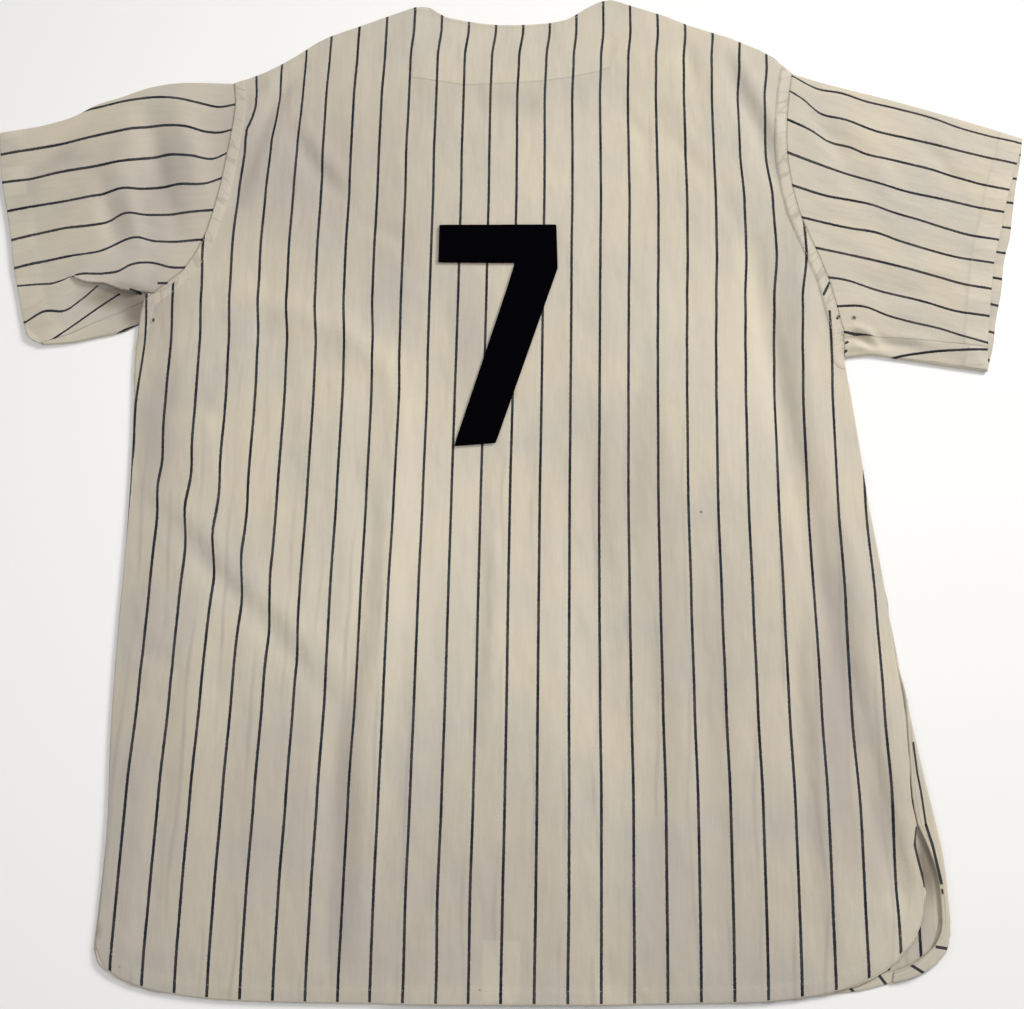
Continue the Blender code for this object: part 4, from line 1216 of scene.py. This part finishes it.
def sleeve_height(x, y, edges):
    """Top of a sleeve, with its turned-up cuff, drawn down at the seam, the armhole and the cuff."""
    cuff = distance(x, y, edges[2])[0]
    return roll(lie(x, y) + sewn_band(cuff, CUFF_BAND, 0.3), nearest(x, y, edges), 0.9, 0.35)


def sleeve_top(seam, armhole, cuff):
    """The smooth edges of a sleeve's upper side, and a function for its height."""
    edges = [smooth_line([seam]), smooth_line([armhole]), smooth_line([cuff])]
    return edges, lambda x, y: sleeve_height(x, y, edges)


def cuff_mark(tree, colour, chart, place):
    """The cuff is turned up inside, and its own stripes lie between those outside, so the band shows
    paler and greyer squares by turns, and a fine line of painted shade where it is hemmed."""
    away = attribute(tree, "to_cuff")
    band = between(tree, away, CUFF_BAND + 0.6, CUFF_BAND - 0.6)
    across = add(tree, "ShaderNodeSeparateXYZ", {"Vector": chart}).outputs["X"]
    turns = maths(tree, "DIVIDE", across, 2 * MM * PITCH)
    square = between(tree, maths(tree, "FRACT", maths(tree, "ADD", turns, 50.25)), 0.48, 0.52)
    colour = mix(tree, times(tree, band, 0.20), colour, PALE)
    colour = mix(tree, times(tree, times(tree, band, square), 0.26), colour, PALE)
    shade = times(tree, band, maths(tree, "SUBTRACT", 1.0, square))
    colour = mix(tree, times(tree, shade, 0.10), colour, GREYED)
    return mix(tree, times(tree, near(tree, away, CUFF_BAND, 0.9), 0.06), colour, SHADED)


# Painted shade in the hollow under the left sleeve's lap, a paler patch over the bunched cloth under the
# right arm, and painted shade in the right eyelet's hole
sleeve_look = flannel("flannel_of_the_sleeves", marks=[
    painted_light_mark, spot(-344, 134, 40, 17, SHADED, 0.75), spot(-322, 122, 22, 26, SHADED, 1.0),
    spot(330, 95, 32, 9, BRIGHT, 0.45), cuff_mark, edge_shadow("to_armhole", 1.6, 0.6),
    edge_shadow("to_seam", 0.9, 0.5), edge_shadow("to_cuff", 0.8, 0.25),
    spot(*EYELET_RIGHT, 2.9, 2.7, EYELET_HOLE_SHADE, 0.9), dash((-306.7, 146.6), (-299.7, 146.7)),
    dash((-330, 139.5), (-322, 137)), dash((291.7, 100.4), (295.7, 102.8)), dash((291.8, 93), (294, 94.5))],
    reliefs=[band_relief("to_cuff", "along_cuff", CUFF_BAND, 0.5, 0.04)], stripe_starts="clear_of_fold")


def sleeve(side, armhole, seam, seam_share, top, under, cuffs, cuff_share, *stripes):
    """A sleeve folded flat, as one sheet whose rows run round it from the underarm seam."""
    out = finer_edges(70, 190)
    upper_cuff, lower_cuff = cuffs
    up = np.concatenate((np.linspace(0, FIRST_ROWS, 56)[:-1], np.linspace(FIRST_ROWS, 1, 50)))
    above = patch([seam], [top], [part_of([armhole], seam_share)], [part_of([upper_cuff], cuff_share)],
                  out, up)
    strip = patch([under], [seam], [part_of([armhole], 0, seam_share)],
                  [part_of([upper_cuff], 0, cuff_share)], out, np.linspace(0, 1, 14))
    floor = patch([under], [top], [armhole], [lower_cuff], out, np.linspace(0, 1, 56))
    lapped, lift, below, fold = lap(above) if side == "left" else (above, 0.0, 0.0, FAR)
    ring_edge, height = sleeve_top(seam, armhole, upper_cuff)
    turn = np.linspace(math.pi / 2, -math.pi / 2, 9)
    shift = np.array((0, GAP / 2))
    down = strip[::-1][:-1]
    first = (np.arange(len(down)) == 0)[:, None, None]
    rows = [stack(down - shift * first, heights(height, down)),
            edge_fold(strip[0], strip[1], turn),
            stack(floor[1:-1], 0.0),
            edge_fold(floor[-1], floor[-2], turn[::-1]),
            stack(lapped[::-1][1:], (heights(height, lapped) + lift)[::-1][1:])]
    places = np.concatenate(rows)
    upper_rows = len(rows[-1])

    clear = np.full(places.shape[:2], FAR)
    clear[-upper_rows:] = np.broadcast_to(fold, lapped.shape[:2])[::-1][1:]
    number = np.zeros(places.shape[:2])
    seen = heights(lambda x, y: stripe_among(stripes[0], x, y), lapped)
    if len(stripes) > 1:
        under_lap = heights(lambda x, y: stripe_among(stripes[1], x, y, first=len(stripes[0]) + 1), lapped)
        seen = seen * (1 - below) + under_lap * below
    number[-upper_rows:] = seen[::-1][1:]
    step = np.linalg.norm(np.diff(places, axis=0), axis=2)
    round_it = np.cumsum(step[::-1], axis=0)[::-1]
    first_upper = len(places) - upper_rows
    number[:first_upper] = number[first_upper] - (round_it[:first_upper] - round_it[first_upper]) / PITCH
    if side == "right":
        under_x, under_y = places[:first_upper, :, 0], places[:first_upper, :, 1]
        past_cuff = under_x - np.interp(under_y, *np.array(upper_cuff).T[::-1])
        number[:first_upper] -= CUFF_TURN * np.maximum(past_cuff, 0) / PITCH
    before_floor = len(rows[0]) + len(rows[1])
    number[:before_floor] = np.maximum(STRIPE_GUARD, heights(
        lambda x, y: stripe_among([STRIPE_BELOW_SEAM[side]], x, y), places[:before_floor]))
    chart = np.dstack((PITCH * number, places[..., 0]))
    if side == "right":
        places, chart, clear = places[:, ::-1], chart[:, ::-1], clear[:, ::-1]
    x, y = places[..., 0], places[..., 1]
    fields = seam_fields(x, y, [ring_edge[2]], "to_cuff", "along_cuff")
    if side == "right":
        at_front = seam_fields(x, y, [smooth_line([lower_cuff])], "to_cuff", "along_cuff")
        in_front = (np.arange(len(places)) < first_upper)[:, None]
        fields = {name: np.where(in_front, at_front[name], fields[name]) for name in fields}
    # painted light and shade on the sleeves too
    fields["painted_light"] = painted_light(x, y)
    fields["to_armhole"] = distance(x, y, ring_edge[1])[0]
    fields["to_seam"] = distance(x, y, ring_edge[0])[0]
    fields["clear_of_fold"] = clear
    made = panel("flannel_sleeve_" + side, places, chart, WALL, sleeve_look, fields)
    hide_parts("sleeve_" + side)
    print("sleeve", side, places.shape[:2])
    return made


sleeve_left = sleeve("left", LEFT_ARMHOLE, LEFT_SLEEVE_SEAM, 0.075, LEFT_SLEEVE_TOP, LEFT_SLEEVE_UNDER,
                     (LEFT_CUFF, LEFT_CUFF), 0.01, LEFT_SLEEVE_STRIPES, LEFT_SLEEVE_STRIPES_BELOW)
sleeve_right = sleeve("right", RIGHT_ARMHOLE, RIGHT_SLEEVE_SEAM, 0.062, RIGHT_SLEEVE_TOP,
                      RIGHT_SLEEVE_UNDER, (RIGHT_CUFF_BACK, RIGHT_CUFF_FRONT), 0.098,
                      RIGHT_SLEEVE_STRIPES)

# %% [markdown]
# ## The front's turned edge
# At the lower right the front is a little wider than the back: its side turns up over the edge, and its
# hem shows round the open vent as a narrow band with slanting stripes.

# %% Turned edge and neck facing
TURN_SHIFT = (1.6, 0.12)  # its upper end tucks in to the left, over this share of its length
TURN_SINK = 1.7


def strip_between(outer, inner, share, across):
    """The plan of a strip, from one long edge to the other."""
    across = across[:, None, None]
    return along(outer, share) * (1 - across) + along(inner, share) * across


turn_share = np.linspace(0, 1, 161)
across_strip = np.array([0, 0.06, 0.14, 0.25, 0.4, 0.55, 0.7, 0.82, 0.91, 0.97, 1])
turned_plan = strip_between(TURN_OUTER, TURN_INNER, turn_share, across_strip)
turned_edges = [smooth_line(TURN_OUTER), smooth_line(TURN_INNER)]


def turned_height(x, y):
    width = distance(x, y, turned_edges[0])[0] + distance(x, y, turned_edges[1])[0]
    return roll(2 * WALL + GAP + 0.05 * width, nearest(x, y, turned_edges), 1.4, 0.7)


# One stripe runs down the strip to the vent's corner, and those after it cross the strip
turned_look = flannel("flannel_of_the_turned_edge", marks=[
    edge_shadow("to_inner_edge", 1.1, 0.45), edge_shadow("to_outer_edge", 0.7, 0.2),
    dash((331.2, -238), (332.9, -262.2), (334.8, -276.1), (337.1, -301.4), half_width=0.00085),
    dash((337.1, -301.4), (341.3, -316.5), (344.7, -335.2), (346.4, -345)),
    dash((346.6, -350), (346.8, -352.5), half_width=0.0008),
    dash((339.6, -392), (349, -393.3)), dash((318, -404.8), (328.5, -411.2))],
    reliefs=[band_relief("to_inner_edge", "along_inner_edge", 2.6, 0.5)], woven=False)
turned_x, turned_y = turned_plan[..., 0], turned_plan[..., 1]
turned_fields = {**seam_fields(turned_x, turned_y, [turned_edges[1]], "to_inner_edge", "along_inner_edge"),
                 **seam_fields(turned_x, turned_y, [turned_edges[0]], "to_outer_edge", "along_outer_edge")}
sunk = ramp(1 - turn_share / 0.1) + ramp((turn_share - 0.93) / 0.07)  # its two ends go under
tucked = np.array((TURN_SHIFT[0], 0)) * ramp(1 - turn_share / TURN_SHIFT[1])[None, :, None]
turned_places = stack(turned_plan - tucked, turned_height(turned_x, turned_y) - TURN_SINK * sunk)
turned = panel("flannel_turned_edge_right", turned_places, turned_plan, WALL, turned_look, turned_fields)
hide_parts("turned_edge_right")

plain_flannel = flannel("flannel")
facing_plan = patch([FACING_LOWER], [FACING_UPPER], [[FACING_LOWER[0], FACING_UPPER[0]]],
                    [[FACING_LOWER[-1], FACING_UPPER[-1]]], np.linspace(0, 1, 60), np.linspace(0, 1, 24))
facing_chart = np.dstack((facing_plan[..., 0] - STRIPE_ZERO, facing_plan[..., 1]))
facing = panel("flannel_neck_facing", stack(facing_plan, WALL + GAP + FACING), facing_chart, FACING,
               plain_flannel)
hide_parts("neck_facing")
print("turned edge", turned_plan.shape[:2], "facing", facing_plan.shape[:2])

# %% [markdown]
# ## The felt numeral
# The number is cut from thick wool felt and sewn down round its edge. It follows the back's own height,
# so it bends with the cloth below it.

# %% Felt number
FELT_BLACK = (0.0006, 0.0006, 0.0014)
FELT_WORN = (0.0020, 0.0020, 0.0036)
NUMBER_ROWS = (34, 12, 58)  # along its bar, its corner and its leg
SEWN_IN = 2.2  # from its edge to its stitches
felt, felt_tree, felt_shader = new_material("felt", FELT_BLACK, 0.96)
felt_shader.inputs["Sheen Weight"].default_value = 0.004
felt_shader.inputs["Specular IOR Level"].default_value = 0.01
felt_place = object_place(felt_tree)
fuzz = noise(felt_tree, felt_place, 1400.0, 4.0, 0.7)
matted = noise(felt_tree, felt_place, 160.0, 3.0, 0.6)
felt_colour = mix(felt_tree, between(felt_tree, fuzz, 0.35, 0.75), FELT_BLACK, FELT_WORN)
felt_tree.links.new(felt_colour, felt_shader.inputs["Base Color"])
felt_height = maths(felt_tree, "ADD", fuzz, times(felt_tree, matted, 0.8))
felt_tree.links.new(bump(felt_tree, felt_height, 0.0003, 0.8), felt_shader.inputs["Normal"])

number_share = [(run + np.linspace(0, 1, rows + 1)[:-1]) / 3 for run, rows in enumerate(NUMBER_ROWS)]
number_share = np.concatenate(number_share + [[1.0]])
number_across = np.array([0, 0.012, 0.03, 0.06, 0.1, 0.2, 0.35, 0.5, 0.65, 0.8, 0.9, 0.94, 0.97, 0.988, 1])
number_plan = strip_between(NUMBER_OUTER, NUMBER_INNER, number_share, number_across)
number_line = smooth_line(NUMBER_OUTER + [[NUMBER_OUTER[-1][-1], NUMBER_INNER[-1][-1]]]
                          + [run[::-1] for run in NUMBER_INNER[::-1]]
                          + [[NUMBER_INNER[0][0], NUMBER_OUTER[0][0]]], 8)


def number_height(x, y):
    edge = distance(x, y, number_line)[0]
    sewn = -0.22 * np.exp(-(((edge - SEWN_IN) / 0.7) ** 2))
    return roll(lie(x, y) + GAP + FELT + sewn, edge, 0.7, 0.45)


number_places = stack(number_plan, heights(number_height, number_plan))
number = panel("felt_number", number_places, number_plan, FELT, felt)
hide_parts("number")
print("number:", number_plan.shape[:2])

# %% [markdown]
# ## Stitches and eyelets
# A lockstitch is a row of short threads, each sunk into the cloth at both ends. One stitch is a small
# sphere drawn out lengthways. An Array modifier makes a row's worth of copies in one mesh, and each copy
# is then turned and set on its line. The eyelets under the arms are embroidered rings.

# %% Stitches
STITCH_PITCH = 3.1
STITCH_SIZE = (2.4, 0.46, 0.42)
SUNK = -0.14  # stitches that sink into the nap, at hems and cuffs
THREAD = (0.55, 0.495, 0.40)
SHADED_THREAD = (0.47, 0.42, 0.34)  # the same thread darkened as painted shade, for hems and cuffs, where it sinks into the nap, and eyelets
DARK_THREAD = (0.004, 0.004, 0.007)


def thread_look(name, colour):
    made, tree, shader = new_material(name, colour, 0.8)
    place = object_place(tree)
    twist = noise(tree, place, 2400.0, 2.0)
    lighter = tuple(min(1.0, 1.25 * c) for c in colour)
    tree.links.new(mix(tree, between(tree, twist, 0.3, 0.7), colour, lighter), shader.inputs["Base Color"])
    tree.links.new(bump(tree, twist, 0.0001, 0.6), shader.inputs["Normal"])
    return made


cream_thread, dark_thread = thread_look("thread", THREAD), thread_look("dark_thread", DARK_THREAD)
shaded_thread = thread_look("shaded_thread", SHADED_THREAD)


def beside(line, away):
    """A line moved sideways to its left by a distance."""
    way = np.gradient(np.array(line, dtype=float), axis=0)
    way /= np.linalg.norm(way, axis=1)[:, None]
    return line + away * np.column_stack((-way[:, 1], way[:, 0]))


def stitch_rows(name, rows, height, look, lift=0.06):
    """Rows of stitches along lines in mm, in one mesh, at the height of the cloth there."""
    middles, ways = [], []
    for row in rows:
        row = np.array(row, dtype=float)
        run = np.concatenate(([0.0], np.cumsum(np.hypot(*np.diff(row, axis=0).T))))
        at = np.arange(STITCH_PITCH / 2, run[-1], STITCH_PITCH)
        ends = [np.column_stack([np.interp(at + step, run, row[:, axis]) for axis in (0, 1)])
                for step in (-0.4, 0.4)]
        middles.append((ends[0] + ends[1]) / 2)
        ways.append(ends[1] - ends[0])
    middles, ways = np.vstack(middles), np.vstack(ways)
    ways /= np.linalg.norm(ways, axis=1)[:, None]
    bpy.ops.object.select_all(action="DESELECT")
    bpy.ops.mesh.primitive_uv_sphere_add(segments=6, ring_count=4, radius=MM / 2, location=(0, 0, 0))
    piece = bpy.context.object
    piece.name = piece.data.name = name
    corners = len(piece.data.vertices)
    apply_modifier(piece, "ARRAY", count=len(middles), use_relative_offset=False,
                   use_constant_offset=True, constant_offset_displace=(0, 0, 0))
    points = points_of(piece.data).reshape(len(middles), corners, 3) * STITCH_SIZE
    x = middles[:, :1] * MM + points[..., 0] * ways[:, :1] - points[..., 1] * ways[:, 1:]
    y = middles[:, 1:] * MM + points[..., 0] * ways[:, 1:] + points[..., 1] * ways[:, :1]
    z = points[..., 2] + MM * (height(x / MM, y / MM) + lift)
    move_points(piece.data, np.dstack((x, y, z)))
    piece.data.materials.append(look)
    select_only(piece)
    bpy.ops.object.shade_smooth()
    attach(piece, "root")
    print(name, len(middles), "stitches")


armhole_rows = [beside(line, side * away) for line, side in zip(armhole_line, (-1, 1))
                for away in (1.5, ARMHOLE_BAND - 0.8)]
stitch_rows("stitches_armholes", armhole_rows, back_height, cream_thread)
stitch_rows("stitches_hem", [beside(bottom_line, HEM_BAND - 0.8)], back_height, shaded_thread, SUNK)
stitch_rows("stitches_neck", [beside(neck_line, -3.0)], back_height, cream_thread)


# Each cuff has a row of stitches, the left one only above its lapped fold
on_left_sleeve = sleeve_top(LEFT_SLEEVE_SEAM, LEFT_ARMHOLE, LEFT_CUFF)[1]
on_right_sleeve = sleeve_top(RIGHT_SLEEVE_SEAM, RIGHT_ARMHOLE, RIGHT_CUFF_BACK)[1]
left_cuff_row = beside(smooth_line([LEFT_CUFF])[2:-1], -(CUFF_BAND - 1))
left_cuff_row = left_cuff_row[left_cuff_row[:, 1] > 158]
stitch_rows("stitches_cuff_left", [left_cuff_row], on_left_sleeve, shaded_thread, SUNK)
right_cuff_row = beside(smooth_line([RIGHT_CUFF_BACK])[1:-1], CUFF_BAND - 1)
stitch_rows("stitches_cuff_right", [right_cuff_row], on_right_sleeve, shaded_thread, SUNK)
stitch_rows("stitches_turned_edge", [beside(turned_edges[1], 1.7)[3:-3]], turned_height, cream_thread)

number_corners = np.array([NUMBER_OUTER[0][0], NUMBER_OUTER[1][0], NUMBER_OUTER[2][0], NUMBER_OUTER[2][1],
                           NUMBER_INNER[2][1], NUMBER_INNER[2][0], NUMBER_INNER[1][0], NUMBER_INNER[0][0]])
number_rows = []
for start, end in zip(number_corners, np.roll(number_corners, -1, axis=0)):
    way = (end - start) / np.linalg.norm(end - start)
    inwards = np.array((way[1], -way[0]))
    number_rows.append([start + SEWN_IN * (way + inwards), end + SEWN_IN * (inwards - way)])
stitch_rows("stitches_number", number_rows, number_height, dark_thread, 0.02)

# %% Eyelets
EYELET_RING = 2.2
EYELET_THREAD = 0.42
EYELET_FLAT = 0.7
for name, (x, y), height, stretch in (("eyelet_left", EYELET_LEFT, back_height, (0.85, 1.15)),
                                      ("eyelet_right", EYELET_RIGHT, on_right_sleeve, (1.0, 1.0))):
    top = float(height(np.array([x]), np.array([y]))[0])
    bpy.ops.object.select_all(action="DESELECT")
    bpy.ops.mesh.primitive_torus_add(major_segments=28, minor_segments=8, major_radius=MM * EYELET_RING,
                                     minor_radius=MM * EYELET_THREAD,
                                     location=(MM * x, MM * y, MM * (top + 0.05)))
    ring = bpy.context.object
    bpy.ops.object.mode_set(mode="EDIT")
    bpy.ops.mesh.select_all(action="SELECT")
    bpy.ops.transform.resize(value=(*stretch, EYELET_FLAT), center_override=ring.location)
    bpy.ops.object.mode_set(mode="OBJECT")
    bpy.ops.object.transform_apply(location=True, rotation=False, scale=False)
    ring.name = ring.data.name = name
    ring.data.materials.append(shaded_thread)
    bpy.ops.object.shade_smooth()
    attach(ring, "root")
print("eyelets:", 2 * EYELET_RING, "mm across")

# %% [markdown]
# ## Buttons
# Six buttons lie under the placket. Each is a disc with a rim, a dished middle and four thread holes,
# modelled once from a cylinder and copied.

# %% Buttons
BUTTON_RADIUS = 8.0
BUTTON_THICKNESS = 2.0
BUTTON_TOP_Y = 290.0
BUTTON_PITCH = 106.0
BUTTON_HOLE = 0.9
BUTTON_HOLE_SPREAD = 1.7

plastic, plastic_tree, plastic_shader = new_material("button", (0.72, 0.68, 0.57), 0.32)
plastic_shader.inputs["Coat Weight"].default_value = 0.2
plastic_place = object_place(plastic_tree)
cloud = noise(plastic_tree, plastic_place, 240.0, 3.0)
plastic_tree.links.new(mix(plastic_tree, between(plastic_tree, cloud, 0.3, 0.7), (0.66, 0.61, 0.49),
                           (0.76, 0.72, 0.62)), plastic_shader.inputs["Base Color"])

bpy.ops.object.select_all(action="DESELECT")
bpy.ops.mesh.primitive_cylinder_add(vertices=64, radius=MM * BUTTON_RADIUS, depth=MM * BUTTON_THICKNESS,
                                    location=(0, MM * BUTTON_TOP_Y, MM * BUTTON_THICKNESS / 2))
first_button = bpy.context.object
bpy.ops.object.transform_apply(location=True, rotation=False, scale=False)
bpy.ops.object.mode_set(mode="EDIT")
bpy.ops.mesh.select_all(action="DESELECT")
bpy.ops.object.mode_set(mode="OBJECT")
for face in first_button.data.polygons:
    face.select = len(face.vertices) > 4
bpy.ops.object.mode_set(mode="EDIT")
bpy.ops.mesh.inset(thickness=MM * 1.4, depth=0)
bpy.ops.mesh.inset(thickness=MM * 0.7, depth=-MM * 0.35)
bpy.ops.object.mode_set(mode="OBJECT")
apply_modifier(first_button, "BEVEL", width=MM * 0.3, segments=3, limit_method="ANGLE")
for dx in (-1, 1):
    for dy in (-1, 1):
        bpy.ops.object.select_all(action="DESELECT")
        bpy.ops.mesh.primitive_cylinder_add(
            vertices=20, radius=MM * BUTTON_HOLE, depth=MM * 6,
            location=(MM * dx * BUTTON_HOLE_SPREAD, MM * (BUTTON_TOP_Y + dy * BUTTON_HOLE_SPREAD), 0))
        drill = bpy.context.object
        apply_modifier(first_button, "BOOLEAN", object=drill, operation="DIFFERENCE")
        bpy.data.objects.remove(drill, do_unlink=True)
first_button.data.materials.clear()
first_button.data.materials.append(plastic)
select_only(first_button)
bpy.ops.object.shade_smooth_by_angle(angle=math.radians(35))
buttons = [first_button]
for index in range(1, 6):
    button = first_button.copy()
    button.data = first_button.data.copy()
    bpy.context.scene.collection.objects.link(button)
    move_points(button.data, points_of(button.data) - (0, MM * index * BUTTON_PITCH, 0))
    buttons.append(button)
for index, button in enumerate(buttons, 1):
    button.name = button.data.name = f"plastic_button_{index}"
    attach(button, "root")
    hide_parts(f"button_{index}")
print("buttons:", len(first_button.data.polygons), "faces each")

# %% [markdown]
# ## Floor and light
# A plain pale floor, a large soft lamp far off at the upper right, low enough for the creases to show,
# a weak one straight above the number and another on the left.

# %% Floor and light
bpy.ops.object.select_all(action="DESELECT")
bpy.ops.mesh.primitive_plane_add(size=8, location=(0, 0, -0.0004))
floor = bpy.context.object
floor.name = "floor"
floor.data.materials.append(new_material("floor", (0.93, 0.93, 0.925), 0.9)[0])


def lamp(name, place, aim, size, watts, colour):
    light = bpy.data.lights.new(name, "AREA")
    light.shape, light.size, light.energy, light.color = "DISK", size, watts, colour
    made = bpy.data.objects.new(name, light)
    bpy.context.scene.collection.objects.link(made)
    made.location = place
    way = np.array(aim) - np.array(place)
    yaw, pitch = math.atan2(way[0], -way[1]), math.atan2(math.hypot(way[0], way[1]), -way[2])
    made.rotation_euler = (pitch, 0, yaw + math.pi)


lamp("key", (2.3, 1.9, 1.7), (0.05, 0.05, 0), 1.2, 104, (1.0, 0.985, 0.965))
lamp("top", (0.03, 0.0, 0.95), (0.03, 0.0, 0), 0.3, 2.0, (1.0, 0.985, 0.96))
lamp("fill", (-1.1, -0.5, 1.3), (0, 0, 0), 1.2, 4, (0.96, 0.98, 1.0))
world = bpy.data.worlds.new("room")
world.use_nodes = True
background = world.node_tree.nodes["Background"]
background.inputs["Color"].default_value = (1.0, 0.99, 0.975, 1)
background.inputs["Strength"].default_value = 0.33
bpy.context.scene.world = world
bpy.context.scene.view_settings.view_transform = "Standard"
